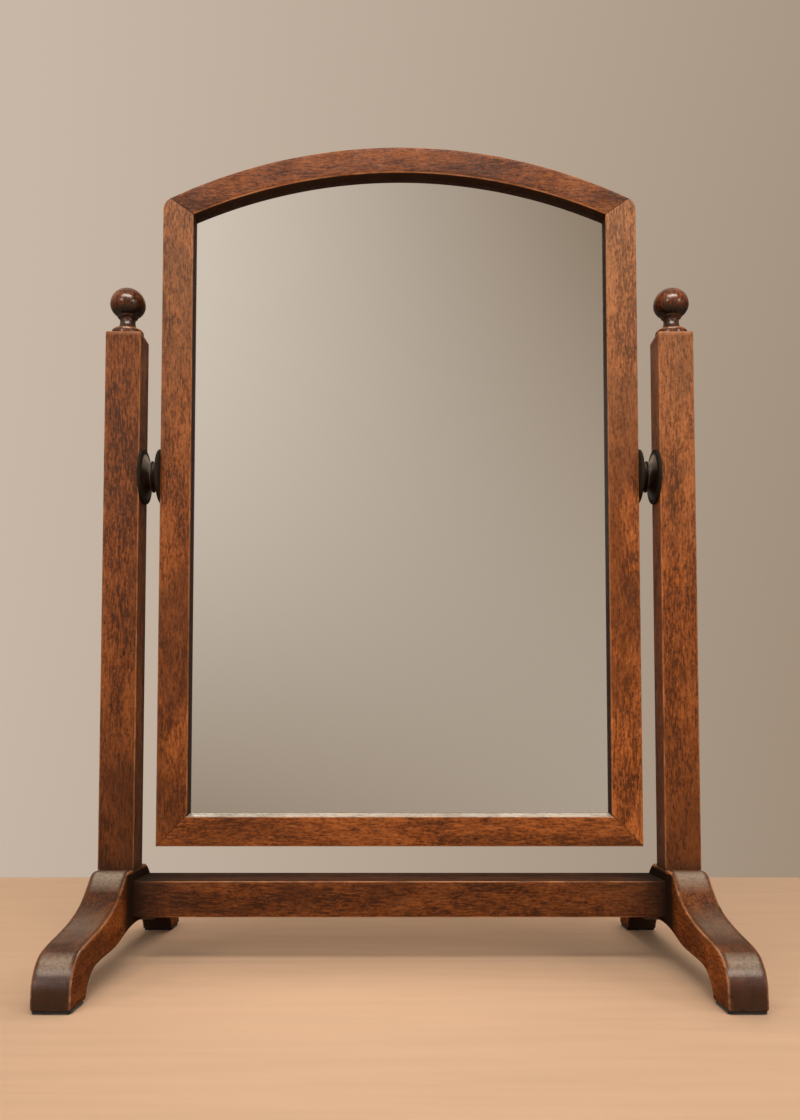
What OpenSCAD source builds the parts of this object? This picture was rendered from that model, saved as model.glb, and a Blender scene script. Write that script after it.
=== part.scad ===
// Dressing table mirror: an arched glass hung between two posts on sledge feet.
// X runs across the mirror, Y from front to back, Z up. The origin is on the floor under the middle.

/* [Stand] */
// Width over the outer faces of the two posts
stand_w = 440; // [420:1:470]
// Width of a post, which is also the thickness of a foot
post_w = 26.5; // [24:0.5:30]
// Depth of a post from front to back
post_d = 26; // [23:0.5:32]
// Height of a post above its foot
post_h = 400; // [375:1:430]
// Radius of a post's four long arrises
post_arris = 1.2; // [0.6:0.1:2]
// Width of the square tenon at the foot of a post
tenon_w = 13; // [11:0.5:14]
// Length of the tenon at the foot of a post
tenon_len = 16; // [12:1:17]

/* [Feet] */
// Height of the block that the post stands on, above the floor
block_h = 68; // [64:0.5:74]
// Half the length of the flat top of the block
block_half = 24; // [18:0.5:27]
// Distance from the middle of a foot to its toe
foot_reach = 153.5; // [146:0.5:162]
// Distance from the middle to the steepest place of the shoulder
shoulder_y = 46; // [42:0.5:50]
// Drop from the block's top to the steepest place of the shoulder
shoulder_drop = 12.5; // [10:0.5:15]
// Distance from the middle to the instep, where the leg is thinnest
instep_y = 100; // [95:0.5:106]
// Height of the instep's top above the floor
instep_h = 39; // [36:0.5:42]
// Height of the knuckle where the top turns down to the toe
knuckle_h = 32.5; // [30:0.5:35]
// Length of the knuckle's round stretch, back from the toe
knuckle_len = 15; // [12:0.5:18]
// Height at which the toe's front becomes upright
toe_h = 8; // [5:0.5:12]
// Length of the flat sole under each toe
sole_len = 30; // [26:0.5:34]
// Height of the arch under the instep
arch_h = 18; // [15:0.5:20]
// Distance from the middle to where the arch rises to the block
throat_y = 44; // [38:0.5:50]
// Height of the underside there
throat_h = 22.5; // [21:0.5:25]
// Height of the underside below the post
crown_h = 28; // [26:0.5:31]
// Thickness of the felt pads under the toes
pad_t = 1.5; // [1:0.25:3]
// Distance of a felt pad's edge from the edge of the sole
pad_inset = 1.5; // [0.5:0.25:3]

/* [Stretcher rail] */
// Thickness of the rail that joins the feet
rail_h = 26; // [22:0.5:28]
// Depth of the rail from front to back
rail_d = 50; // [44:0.5:54]
// Height of the rail's underside above the floor
rail_z = 33.7; // [32.5:0.1:35]
// Distance that the rail's front stands proud of the posts
rail_proud = 1; // [0.25:0.25:3]
// Diameter of the rail's dowels
dowel_d = 8; // [6:0.5:9]
// Length of a dowel
dowel_len = 30; // [24:1:34]
// Distance of the front dowel from the post's middle line
dowel_front = 8; // [7.5:0.25:9]
// Distance of the rear dowel from the post's middle line
dowel_rear = 26; // [20:0.5:28]
// Height of the dowels above the rail's underside
dowel_up = 10; // [8:0.5:10.5]

/* [Mirror frame] */
// Gap between the frame and a post, which a spool fills
frame_gap = 15; // [13:0.5:20]
// Height of the frame at the middle of its arch
frame_h = 526.5; // [510:0.5:540]
// Height of the frame's underside above the feet's blocks
frame_lift = 16.5; // [12:0.5:24]
// Thickness of the frame from front to back
frame_t = 21; // [20.5:0.5:23]
// Radius of the arch's outer edge
arch_r = 400; // [360:1:450]
// Radius of the arch's inner edge at the glass
sight_r = 390; // [350:1:440]
// Radius of the round shoulders
shoulder_r = 10; // [6:0.5:14]
// Radius of the frame's lower corners
corner_r = 1.5; // [0.5:0.25:3]
// Width of the stiles
stile_w = 23.75; // [22:0.25:26]
// Width of the bottom rail
sill_w = 24; // [22:0.25:28]
// Width of the arched rail at its middle
arch_w = 20.5; // [19.5:0.25:25]
// Slope of the sight edge on the stiles and the arched rail
splay = 1; // [0.5:0.25:2]
// Slope of the sight edge on the bottom rail
sill_splay = 2.5; // [1:0.25:4]
// Depth of the lip in front of the glass
lip_t = 8; // [7:0.25:9]
// Angle of the mitre between a stile and the arched rail
mitre_up = 35; // [30:1:40]
// Length of a corner spline along its mitre
spline_len = 10; // [8:0.5:11]
// Width of a corner spline across its mitre
spline_w = 12; // [9:0.5:13]
// Distance of a corner spline's middle from the inner corner
spline_in = 12; // [11:0.25:12.5]
// Thickness of a corner spline
spline_t = 3; // [2:0.25:4]

/* [Glass and back] */
// Thickness of the mirror glass
glass_t = 4; // [3:0.25:4.5]
// Width that the rebate hides of the glass
rebate_w = 6; // [5:0.25:7]
// Thickness of the backing board
board_t = 5; // [4:0.25:5.5]
// Width that the backing board's rebate reaches past the sight edge
board_lap = 13; // [12:0.25:14]
// Length of a block that wedges the glass
wedge_len = 25; // [18:1:32]
// Width of a block that wedges the glass
wedge_w = 8; // [6:0.5:10]
// Shank diameter of the backing screws
back_screw_d = 3; // [2.5:0.25:3.5]
// Head diameter of the backing screws
back_head_d = 5.6; // [5:0.2:6]
// Length of the backing screws
back_screw_len = 12; // [9:0.5:14]

/* [Pivots] */
// Height of the pivot above the feet's blocks
pivot_up = 292.5; // [280:0.5:300]
// Radius of the bosses' rims
boss_r = 20.5; // [17:0.5:22]
// Thickness of the bosses' rims
boss_rim = 2.2; // [1.5:0.1:3]
// Radius of the spool's waist
waist_r = 10.6; // [9:0.2:12]
// Radius of the friction washer at the waist
washer_r = 11.8; // [10:0.2:14]
// Thickness of the friction washer
washer_t = 1.2; // [0.8:0.1:2]
// Diameter of the pivot bolt's shank
bolt_d = 6; // [5:0.25:7]
// Diameter of the pivot bolt's threaded tip
bolt_tip_d = 5; // [4:0.25:5.5]
// Length of the pivot bolt's threaded tip
bolt_tip_len = 12.5; // [9:0.5:12.5]
// Diameter of the pivot bolt's head
bolt_head_d = 12; // [10:0.5:13]
// Thickness of the pivot bolt's head
bolt_head_t = 3.2; // [2.5:0.1:3.5]
// Width of the slot in the bolt's head
slot_w = 1.3; // [0.8:0.1:2]
// Depth of the slot in the bolt's head
slot_d = 1.4; // [0.8:0.1:2]
// Outer diameter of the brass bush
bush_d = 10; // [9:0.25:11]
// Diameter of the bush's flange
flange_d = 15; // [13.5:0.5:16]
// Thickness of the bush's flange
flange_t = 1.5; // [1:0.1:2]
// Diameter of the counterbore in the post's outer face
counterbore_d = 18; // [17:0.5:20]
// Depth of the counterbore in the post's outer face
counterbore = 7; // [6.9:0.1:9]
// Diameter of the spring washer
spring_d = 13; // [12:0.5:14]
// Thickness of the spring washer
spring_t = 1.2; // [0.8:0.1:1.3]
// Outer diameter of the threaded insert in a stile
insert_d = 8; // [7:0.25:8.5]
// Length of the threaded insert
insert_len = 14; // [13:0.5:15]

/* [Finials] */
// Radius of the finial's ball
ball_r = 13.2; // [11:0.1:15]
// Height of the ball's widest place above the post
ball_z = 24.9; // [23:0.1:28]
// Height of the ball above its widest place
ball_up = 12.7; // [11:0.1:14.5]
// Height of the ball below its widest place, if it were whole
ball_down = 10.8; // [9.5:0.1:11.5]
// Radius of the collar under the ball
collar_r = 7.4; // [6.8:0.1:8.5]
// Radius of the finial's neck
neck_r = 5.7; // [5:0.1:6.5]
// Height of the neck's narrowest place above the post
neck_z = 12; // [9.5:0.1:13]
// Radius of the finial's base disc
disc_r = 12; // [10:0.1:13]
// Thickness of the base disc
disc_t = 5; // [3.5:0.1:6.5]
// Diameter of the finial's spigot
spigot_d = 9; // [7:0.5:10]
// Length of the finial's spigot
spigot_len = 18; // [12:1:24]

/* [Foot screws] */
// Shank diameter of the screw under each post
foot_screw_d = 4; // [3.5:0.25:4.5]
// Head diameter of the screw under each post
foot_head_d = 8; // [7:0.5:9]
// Length of the screw under each post
foot_screw_len = 34; // [29:1:36]

/* [Fits] */
// Radial clearance of the turning bolt in its bush
run_fit = 0.05; // [0.02:0.01:0.09]
// Clearance round parts that are glued or pressed
glue_fit = 0.05; // [0.02:0.01:0.1]
// Gap between the parts that turn past each other
turn_gap = 0.3; // [0.25:0.05:0.5]
// Play round the glass and the backing board
glass_play = 0.3; // [0.2:0.1:1]

/* [Hidden] */
$fn = 96;

WALNUT = "#6b3d22";
DARK_WALNUT = "#3a2014";
PINE = "#c9a26b";
BRASS = "#b08d4a";
STEEL = "#8a8a86";
LEATHER = "#2a1a12";
FELT = "#22301f";
GLASS = "#c9c4ba";

// A little past a face, so that a cut goes right through it
past = 1;
// Larger than the whole mirror, for the zones that split the frame
far = 2 * (stand_w + frame_h);

// Stand
post_out = stand_w / 2;
post_in = post_out - post_w;
post_x = post_out - post_w / 2;
post_top = block_h + post_h;
rail_front = -post_d / 2 - rail_proud;
dowel_z = rail_z + dowel_up;

// Frame, in the plane of the glass
half_w = post_in - frame_gap;
frame_z = block_h + frame_lift;
frame_top = frame_z + frame_h;
arch_z = frame_top - arch_r;
sight_x = half_w - stile_w;
sight_z = frame_z + sill_w;
sight_top = frame_top - arch_w;
sight_cz = sight_top - sight_r;
frame_front = -frame_t / 2;
frame_back = frame_t / 2;
glass_front = frame_front + lip_t;
glass_back = glass_front + glass_t;
board_front = frame_back - board_t;
// Upper inner corner of a stile, where its mitre starts
corner_z = sight_cz + sqrt(sight_r * sight_r - sight_x * sight_x);
// Middle of a round shoulder
shoulder_x = half_w - shoulder_r;
shoulder_z = arch_z + sqrt(pow(arch_r - shoulder_r, 2) - shoulder_x * shoulder_x);
mitre_down = atan2(sill_w, stile_w);

// Pivot, from the stile's edge outwards
pivot_z = block_h + pivot_up;
spool_mid = half_w + frame_gap / 2;
washer_out = spool_mid + washer_t / 2;
washer_in = spool_mid - washer_t / 2;
frame_boss_end = washer_in - turn_gap;
bore_floor = post_out - counterbore;
flange_out = bore_floor + flange_t;
spring_in = flange_out + turn_gap;
head_in = spring_in + spring_t;
head_out = head_in + bolt_head_t;

// Places of the backing screws and the glass wedges
screw_line = (rebate_w + board_lap) / 2;
straight_z = corner_z - sight_z;
side_screws = [0.1, 0.38, 0.7, 0.93];
sill_screws = [-0.6, 0, 0.6];
arch_screws = [-14, 0, 14];
side_wedges = [0.12, 0.5, 0.86];
sill_wedges = [-0.55, 0.55];
arch_wedges = [-12, 12];

// Points of a cubic curve, without its first one
function curve(a, b, c, d, n = 10) = [for (i = [1:n])
    let (t = i / n, u = 1 - t)
    u * u * u * a + 3 * u * u * t * b + 3 * u * t * t * c + t * t * t * d];

// One half of a foot's outline, from the middle of its top round the toe to the middle of its underside
function half_foot() = let (
    shoulder = [shoulder_y, block_h - shoulder_drop],
    instep = [instep_y, instep_h],
    knuckle = [foot_reach - knuckle_len, knuckle_h],
    toe = [foot_reach, pad_t + toe_h],
    heel = [foot_reach - sole_len, pad_t],
    arch = [instep_y, arch_h],
    throat = [throat_y, throat_h],
    crown = [0, crown_h])
    concat(
        [[0, block_h], [block_half, block_h]],
        curve([block_half, block_h], [block_half + 7, block_h], shoulder + [-9, 6.2], shoulder),
        curve(shoulder, shoulder + [13, -9], instep + [-21, 3], instep),
        curve(instep, instep + [16, -2.3], knuckle + [-9, 3.2], knuckle),
        curve(knuckle, knuckle + [9.5, -3.6], toe + [0, 10], toe),
        [[foot_reach, pad_t + 1], [foot_reach - 1, pad_t], heel],
        curve(heel, heel + [-2.5, 8], arch + [13, -1.5], arch),
        curve(arch, arch + [-20, 2.2], throat + [17, -4], throat),
        curve(throat, throat + [-14, 3], crown + [20, 0], crown));

// Mirrored copy of what is drawn on the right
module on_left() {
    mirror([1, 0, 0])
        children();
}

// Drawn once on the right and once on the left
module on_both() {
    children();
    mirror([1, 0, 0])
        children();
}

// Children drawn along +Z from the floor, laid along +X from x on the pivot's axis
module on_pivot(x) {
    translate([x, 0, pivot_z])
        rotate([0, 90, 0])
            children();
}

// Outline in the plane of the frame, given depth from y0 to y1
module plate(y0, y1) {
    translate([0, y1, 0])
        rotate([90, 0, 0])
            linear_extrude(y1 - y0)
                children();
}

// Cylinder along +Y from y0 to y1 at a place of the frame
module bar_y(x, z, d, y0, y1, d2 = 0) {
    translate([x, y0, z])
        rotate([-90, 0, 0])
            cylinder(h = y1 - y0, d1 = d, d2 = d2 > 0 ? d2 : d);
}

// Square with round corners, made of plain squares and circles
module soft_square(w, d, r) {
    square([w, d - 2 * r], center = true);
    square([w - 2 * r, d], center = true);
    for (x = [-1, 1], y = [-1, 1])
        translate([x * (w / 2 - r), y * (d / 2 - r)])
            circle(r);
}

module foot_blank() {
    half = half_foot();
    other = [for (i = [len(half) - 2:-1:1]) [-half[i][0], half[i][1]]];
    translate([post_in, 0, 0])
        rotate([90, 0, 90])
            linear_extrude(post_w)
                polygon(concat(half, other));
}

module foot() {
    mortise = tenon_w + 2 * glue_fit;
    sink = foot_head_d / 2 + 3 * glue_fit;
    difference() {
        foot_blank();
        translate([post_x - mortise / 2, -mortise / 2, block_h - tenon_len - glue_fit])
            cube([mortise, mortise, tenon_len + glue_fit + past]);
        for (y = [-dowel_front, dowel_rear])
            translate([post_in - past, y, dowel_z])
                rotate([0, 90, 0])
                    cylinder(h = past + dowel_len / 2 + glue_fit, d = dowel_d + 2 * glue_fit);
        translate([post_x, 0, crown_h - past])
            cylinder(h = block_h - crown_h, d = foot_screw_d + 2 * glue_fit);
        translate([post_x, 0, crown_h - glue_fit])
            cylinder(h = sink, r1 = sink, r2 = 0);
        translate([post_x, 0, crown_h - past])
            cylinder(h = past, r = sink);
    }
}

module foot_screw() {
    head_h = (foot_head_d - foot_screw_d) / 2;
    translate([post_x, 0, crown_h])
        rotate_extrude()
            polygon([[0, 0], [foot_head_d / 2, 0], [foot_screw_d / 2, head_h],
                [foot_screw_d / 2, foot_screw_len - foot_screw_d], [0, foot_screw_len]]);
}

module pad(side) {
    pad_len = sole_len - 2 * pad_inset;
    y = side > 0 ? foot_reach - pad_inset - pad_len : pad_inset - foot_reach;
    translate([post_in + pad_inset, y, 0])
        cube([post_w - 2 * pad_inset, pad_len, pad_t]);
}

module post() {
    difference() {
        union() {
            translate([post_x, 0, block_h])
                linear_extrude(post_h)
                    soft_square(post_w, post_d, post_arris);
            translate([post_x - tenon_w / 2, -tenon_w / 2, block_h - tenon_len])
                cube([tenon_w, tenon_w, tenon_len]);
        }
        translate([post_x, 0, crown_h])
            cylinder(h = foot_screw_len + glue_fit, d = foot_screw_d + 2 * glue_fit);
        translate([post_x, 0, post_top - spigot_len - glue_fit])
            cylinder(h = spigot_len + glue_fit + past, d = spigot_d + 2 * glue_fit);
        on_pivot(post_in - past)
            cylinder(h = post_w + 2 * past, d = bush_d + 2 * glue_fit);
        on_pivot(bore_floor)
            cylinder(h = counterbore + past, d = counterbore_d);
    }
}

module finial() {
    start = -acos(collar_r / ball_r);
    collar_z = ball_z + ball_down * sin(start);
    collar = [collar_r, collar_z];
    edge = [disc_r, disc_t / 2];
    cove = [disc_r - 2.8, disc_t];
    neck = [neck_r, neck_z];
    under = [for (i = [1:8])
        let (a = start * (1 - i / 8))
        [ball_r * cos(a), ball_z + ball_down * sin(a)]];
    over = [for (i = [1:11])
        let (a = 90 * i / 12)
        [ball_r * cos(a), ball_z + ball_up * sin(a)]];
    translate([post_x, 0, post_top]) {
        rotate_extrude()
            polygon(concat(
                [[0, 0], [disc_r - 0.6, 0], [disc_r, 0.6], edge],
                curve(edge, [disc_r, disc_t - 0.8], [disc_r - 1, disc_t], cove, 6),
                curve(cove, [neck_r + 1, disc_t + 0.6], neck - [0, 3], neck, 8),
                curve(neck, neck + [0, 1.6], collar - [0.5, 1.5], collar, 5),
                under, over, [[0, ball_z + ball_up]]));
        translate([0, 0, -spigot_len])
            cylinder(h = spigot_len + past, d = spigot_d);
    }
}

module rail() {
    difference() {
        translate([-post_in, rail_front, rail_z])
            cube([2 * post_in, rail_d, rail_h]);
        on_both()
            for (y = [-dowel_front, dowel_rear])
                translate([post_in - dowel_len / 2 - glue_fit, y, dowel_z])
                    rotate([0, 90, 0])
                        cylinder(h = dowel_len / 2 + glue_fit + past, d = dowel_d + 2 * glue_fit);
    }
}

module dowels() {
    for (y = [-dowel_front, dowel_rear])
        translate([post_in - dowel_len / 2, y, dowel_z])
            rotate([0, 90, 0])
                cylinder(h = dowel_len, d = dowel_d);
}

// Half a spool: a rim against the wood at 0, and a hollow flare down to the waist at len
module boss(len, bore) {
    lip = [boss_r - 0.5, boss_rim];
    difference() {
        rotate_extrude()
            polygon(concat(
                [[0, 0], [boss_r - 0.4, 0], [boss_r, 0.4], [boss_r, boss_rim - 0.4], lip],
                curve(lip, [boss_r - 3.4, boss_rim + 0.4],
                    [waist_r + 1.6, boss_rim + 2.2], [waist_r, len - 0.6]),
                [[waist_r, len], [0, len]]));
        translate([0, 0, -past])
            cylinder(h = len + 2 * past, d = bore);
    }
}

module post_boss() {
    translate([post_in, 0, pivot_z])
        rotate([0, -90, 0])
            boss(post_in - washer_out, bush_d + 2 * glue_fit);
}

module frame_boss() {
    on_pivot(half_w)
        boss(frame_boss_end - half_w, bolt_d + 2 * run_fit);
}

module bush() {
    difference() {
        union() {
            on_pivot(washer_out)
                cylinder(h = bore_floor - washer_out, d = bush_d);
            on_pivot(bore_floor)
                cylinder(h = flange_t, d = flange_d);
        }
        on_pivot(washer_out - past)
            cylinder(h = flange_out - washer_out + 2 * past, d = bolt_d + 2 * run_fit);
    }
}

module friction_washer() {
    on_pivot(washer_in)
        difference() {
            cylinder(h = washer_t, r = washer_r);
            translate([0, 0, -past])
                cylinder(h = washer_t + 2 * past, d = bolt_d + 2 * turn_gap);
        }
}

module spring_washer() {
    on_pivot(spring_in)
        difference() {
            cylinder(h = spring_t, d = spring_d);
            translate([0, 0, -past])
                cylinder(h = spring_t + 2 * past, d = bolt_d + 2 * glue_fit);
        }
}

module pivot_bolt() {
    difference() {
        union() {
            on_pivot(half_w - bolt_tip_len)
                cylinder(h = bolt_tip_len + past, d = bolt_tip_d);
            on_pivot(half_w)
                cylinder(h = head_in - half_w + past, d = bolt_d);
            on_pivot(head_in)
                cylinder(h = bolt_head_t, d = bolt_head_d);
        }
        translate([head_out - slot_d, -bolt_head_d, pivot_z - slot_w / 2])
            cube([slot_d + past, 2 * bolt_head_d, slot_w]);
    }
}

module insert() {
    on_pivot(half_w - insert_len)
        difference() {
            cylinder(h = insert_len, d = insert_d);
            translate([0, 0, insert_len - bolt_tip_len - glue_fit])
                cylinder(h = bolt_tip_len + glue_fit + past, d = bolt_tip_d + 2 * glue_fit);
        }
}

// Outline of the whole frame: an arch with round shoulders over a rectangle
module frame_outline() {
    low = frame_z + corner_r;
    spread = far * shoulder_x / (shoulder_z - arch_z);
    translate([-half_w, low])
        square([2 * half_w, shoulder_z - low]);
    translate([corner_r - half_w, frame_z])
        square([2 * (half_w - corner_r), shoulder_z - frame_z]);
    for (s = [-1, 1]) {
        translate([s * (half_w - corner_r), low])
            circle(corner_r);
        translate([s * shoulder_x, shoulder_z])
            circle(shoulder_r);
    }
    intersection() {
        translate([0, arch_z])
            circle(arch_r, $fn = 360);
        polygon([[0, arch_z], [spread, arch_z + far], [-spread, arch_z + far]]);
        translate([-far, shoulder_z])
            square([2 * far, far]);
    }
}

// Outline that stands a given distance outside the sight edge
module sight_outline(grow) {
    intersection() {
        translate([-sight_x - grow, sight_z - grow])
            square([2 * (sight_x + grow), far]);
        translate([0, sight_cz])
            circle(sight_r + grow, $fn = 360);
    }
}

// The opening in front of the glass, whose edge slopes outwards to the frame's front
module sight_opening() {
    depth = lip_t + past;
    wide = sight_x + splay * depth / lip_t;
    low = sight_z - sill_splay * depth / lip_t;
    front = glass_front - depth;
    intersection() {
        linear_extrude(2 * far)
            polygon([[-sight_x, glass_front], [sight_x, glass_front], [wide, front], [-wide, front]]);
        translate([-far, 0, 0])
            rotate([90, 0, 90])
                linear_extrude(2 * far)
                    polygon([[glass_front, sight_z], [glass_front, far], [front, far], [front, low]]);
        translate([0, glass_front, sight_cz])
            rotate([90, 0, 0])
                cylinder(h = depth, r1 = sight_r, r2 = sight_r + splay * depth / lip_t, $fn = 360);
    }
}

// The whole frame before it is cut into its four members
module frame_blank() {
    difference() {
        plate(frame_front, frame_back)
            frame_outline();
        sight_opening();
        plate(glass_front - past / 10, frame_back + past)
            sight_outline(0);
        plate(glass_front, frame_back + past)
            sight_outline(rebate_w);
        plate(board_front, frame_back + past)
            sight_outline(board_lap);
    }
}

// Everything above the two upper mitres
module arch_zone() {
    rise = far * tan(mitre_up);
    out = sight_x + far;
    top = corner_z + 2 * far;
    polygon([[-sight_x, corner_z], [-out, corner_z + rise], [-out, top],
        [out, top], [out, corner_z + rise], [sight_x, corner_z]]);
}

// Everything below the two lower mitres
module sill_zone() {
    drop = far * tan(mitre_down);
    polygon([[-sight_x, sight_z], [sight_x, sight_z], [sight_x + far, sight_z - drop],
        [-sight_x - far, sight_z - drop]]);
}

// A spline across the mitre that leaves an inner corner at an angle, or the slot that holds it
module spline_at(z, angle, grow) {
    translate([sight_x, (frame_front + glass_front) / 2, z])
        rotate([0, -angle, 0])
            translate([spline_in, 0, 0])
                cube([spline_len + 2 * grow, spline_t + 2 * grow, spline_w + 2 * grow], center = true);
}

// The four corner splines, or their slots
module splines(grow) {
    on_both() {
        spline_at(sight_z, -mitre_down, grow);
        spline_at(corner_z, mitre_up, grow);
    }
}

module stile() {
    difference() {
        intersection() {
            frame_blank();
            translate([0, frame_front - past, frame_z - past])
                cube([far, frame_t + 2 * past, far]);
        }
        plate(frame_front - past, frame_back + past)
            arch_zone();
        plate(frame_front - past, frame_back + past)
            sill_zone();
        splines(glue_fit);
        on_pivot(half_w - insert_len - glue_fit)
            cylinder(h = insert_len + glue_fit + past, d = insert_d + 2 * glue_fit);
        back_screw_places(glue_fit);
    }
}

module arch_member() {
    difference() {
        intersection() {
            frame_blank();
            plate(frame_front - past, frame_back + past)
                arch_zone();
        }
        splines(glue_fit);
        back_screw_places(glue_fit);
    }
}

module sill_member() {
    difference() {
        intersection() {
            frame_blank();
            plate(frame_front - past, frame_back + past)
                sill_zone();
        }
        splines(glue_fit);
        back_screw_places(glue_fit);
    }
}

module glass() {
    plate(glass_front, glass_back)
        sight_outline(rebate_w - glass_play);
}

module board() {
    difference() {
        plate(board_front, frame_back)
            sight_outline(board_lap - glass_play);
        back_screw_places(glue_fit);
    }
}

// One countersunk screw, its head flush with the board's back, or the hole for it
module back_screw(x, z, grow) {
    tip = frame_back - back_screw_len;
    shank = back_screw_d + 2 * grow;
    head = back_head_d + 2 * grow;
    sink = (back_head_d - back_screw_d) / 2;
    bar_y(x, z, shank, tip - grow, frame_back);
    bar_y(x, z, shank, frame_back - sink, frame_back, head);
    if (grow > 0)
        bar_y(x, z, head, frame_back, frame_back + past);
}

module back_screw_places(grow) {
    x = sight_x + screw_line;
    r = sight_r + screw_line;
    on_both()
        for (k = side_screws)
            back_screw(x, sight_z + k * straight_z, grow);
    for (k = sill_screws)
        back_screw(k * sight_x, sight_z - screw_line, grow);
    for (a = arch_screws)
        back_screw(r * sin(a), sight_cz + r * cos(a), grow);
}

// A block behind the glass, its long side along the sight edge
module wedge(along_x) {
    thick = board_front - glass_back;
    size = along_x ? [wedge_len, thick, wedge_w] : [wedge_w, thick, wedge_len];
    translate([-size[0] / 2, glass_back, -size[2] / 2])
        cube(size);
}

module wedges() {
    out = rebate_w - glass_play - wedge_w / 2;
    bow = wedge_len * wedge_len / (8 * sight_r);
    r = sight_r + out - bow;
    on_both()
        for (k = side_wedges)
            translate([sight_x + out, 0, sight_z + k * straight_z])
                wedge(false);
    for (k = sill_wedges)
        translate([k * sight_x, 0, sight_z - out])
            wedge(true);
    for (a = arch_wedges)
        translate([r * sin(a), 0, sight_cz + r * cos(a)])
            rotate([0, a, 0])
                wedge(true);
}

module left_foot() { color(WALNUT) on_left() foot(); }
module right_foot() { color(WALNUT) foot(); }
module foot_pads() { color(FELT) on_both() for (side = [-1, 1]) pad(side); }
module left_post() { color(WALNUT) on_left() post(); }
module right_post() { color(WALNUT) post(); }
module left_finial() { color(DARK_WALNUT) on_left() finial(); }
module right_finial() { color(DARK_WALNUT) finial(); }
module foot_screws() { color(STEEL) on_both() foot_screw(); }
module stretcher_rail() { color(WALNUT) rail(); }
module rail_dowels() { color(PINE) on_both() dowels(); }
module left_post_boss() { color(DARK_WALNUT) on_left() post_boss(); }
module right_post_boss() { color(DARK_WALNUT) post_boss(); }
module left_bush() { color(BRASS) on_left() bush(); }
module right_bush() { color(BRASS) bush(); }
module left_friction_washer() { color(LEATHER) on_left() friction_washer(); }
module right_friction_washer() { color(LEATHER) friction_washer(); }
module left_stile() { color(WALNUT) on_left() stile(); }
module right_stile() { color(WALNUT) stile(); }
module arched_rail() { color(WALNUT) arch_member(); }
module bottom_rail() { color(WALNUT) sill_member(); }
module corner_splines() { color(PINE) splines(0); }
module mirror_glass() { color(GLASS) glass(); }
module glass_wedges() { color(PINE) wedges(); }
module backing_board() { color(PINE) board(); }
module backing_screws() { color(BRASS) back_screw_places(0); }
module left_frame_boss() { color(DARK_WALNUT) on_left() frame_boss(); }
module right_frame_boss() { color(DARK_WALNUT) frame_boss(); }
module left_insert() { color(BRASS) on_left() insert(); }
module right_insert() { color(BRASS) insert(); }
module left_pivot_bolt() { color(STEEL) on_left() pivot_bolt(); }
module right_pivot_bolt() { color(STEEL) pivot_bolt(); }
module left_spring_washer() { color(STEEL) on_left() spring_washer(); }
module right_spring_washer() { color(STEEL) spring_washer(); }

left_foot();
right_foot();
foot_pads();
left_post();
right_post();
left_finial();
right_finial();
foot_screws();
stretcher_rail();
rail_dowels();
left_post_boss();
right_post_boss();
left_bush();
right_bush();
left_friction_washer();
right_friction_washer();
left_stile();
right_stile();
arched_rail();
bottom_rail();
corner_splines();
mirror_glass();
glass_wedges();
backing_board();
backing_screws();
left_frame_boss();
right_frame_boss();
left_insert();
right_insert();
left_pivot_bolt();
right_pivot_bolt();
left_spring_washer();
right_spring_washer();
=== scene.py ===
import math
import random
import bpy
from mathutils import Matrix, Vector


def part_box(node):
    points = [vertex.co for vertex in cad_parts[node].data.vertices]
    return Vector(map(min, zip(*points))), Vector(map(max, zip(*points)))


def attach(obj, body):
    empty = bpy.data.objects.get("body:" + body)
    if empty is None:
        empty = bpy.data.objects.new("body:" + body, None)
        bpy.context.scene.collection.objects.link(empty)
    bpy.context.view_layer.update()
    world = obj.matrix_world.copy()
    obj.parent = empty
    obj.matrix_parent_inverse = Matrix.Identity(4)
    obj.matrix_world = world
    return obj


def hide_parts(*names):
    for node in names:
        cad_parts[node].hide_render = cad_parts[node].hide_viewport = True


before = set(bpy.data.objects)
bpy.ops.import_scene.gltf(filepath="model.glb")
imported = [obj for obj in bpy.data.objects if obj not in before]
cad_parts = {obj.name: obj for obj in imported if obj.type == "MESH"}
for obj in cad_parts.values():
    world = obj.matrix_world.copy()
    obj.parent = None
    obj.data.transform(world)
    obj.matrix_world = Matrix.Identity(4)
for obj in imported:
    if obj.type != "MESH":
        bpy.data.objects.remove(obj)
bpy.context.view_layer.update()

from types import SimpleNamespace

import bmesh
import bpy
from bpy.props import FloatProperty, FloatVectorProperty, IntProperty, PointerProperty
from bpy.types import Operator, Panel, PropertyGroup
from mathutils import Matrix, Vector

bl_info = {
    "name": "Dressing Table Mirror",
    "version": (1, 0, 0),
    "blender": (4, 5, 0),
    "location": "View3D > Sidebar > Mirror",
    "description": "Models and finishes the pieces of a swinging dressing table mirror",
    "category": "Mesh",
}

MM = 0.001
LOW = {name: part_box(name)[0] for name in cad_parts}
HIGH = {name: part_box(name)[1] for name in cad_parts}
PIVOT_Z = (LOW["right_pivot_bolt"].z + HIGH["right_pivot_bolt"].z) / 2
QUARTER = math.radians(90)
X, Y, Z = range(3)

# Half the length of the block in the middle of a foot
BLOCK_HALF = 24 * MM

# How far the inner front arris is drawn back: of the stiles and the arch, and of the bottom rail
SPLAY = 1 * MM
SILL_SPLAY = 2.5 * MM


def srgb(red, green, blue):
    """A colour in bytes, as the linear values that Blender's sockets hold."""
    out = []
    for value in (red, green, blue):
        c = value / 255
        out.append(c / 12.92 if c <= 0.04045 else ((c + 0.055) / 1.055) ** 2.4)
    return tuple(out)


def length(name, text, default):
    return FloatProperty(name=name, description=text, default=default, min=0, unit="LENGTH")


def tint(name, text, rgb):
    return FloatVectorProperty(name=name, description=text, subtype="COLOR", size=3,
                               min=0, max=1, default=srgb(*rgb))


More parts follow.
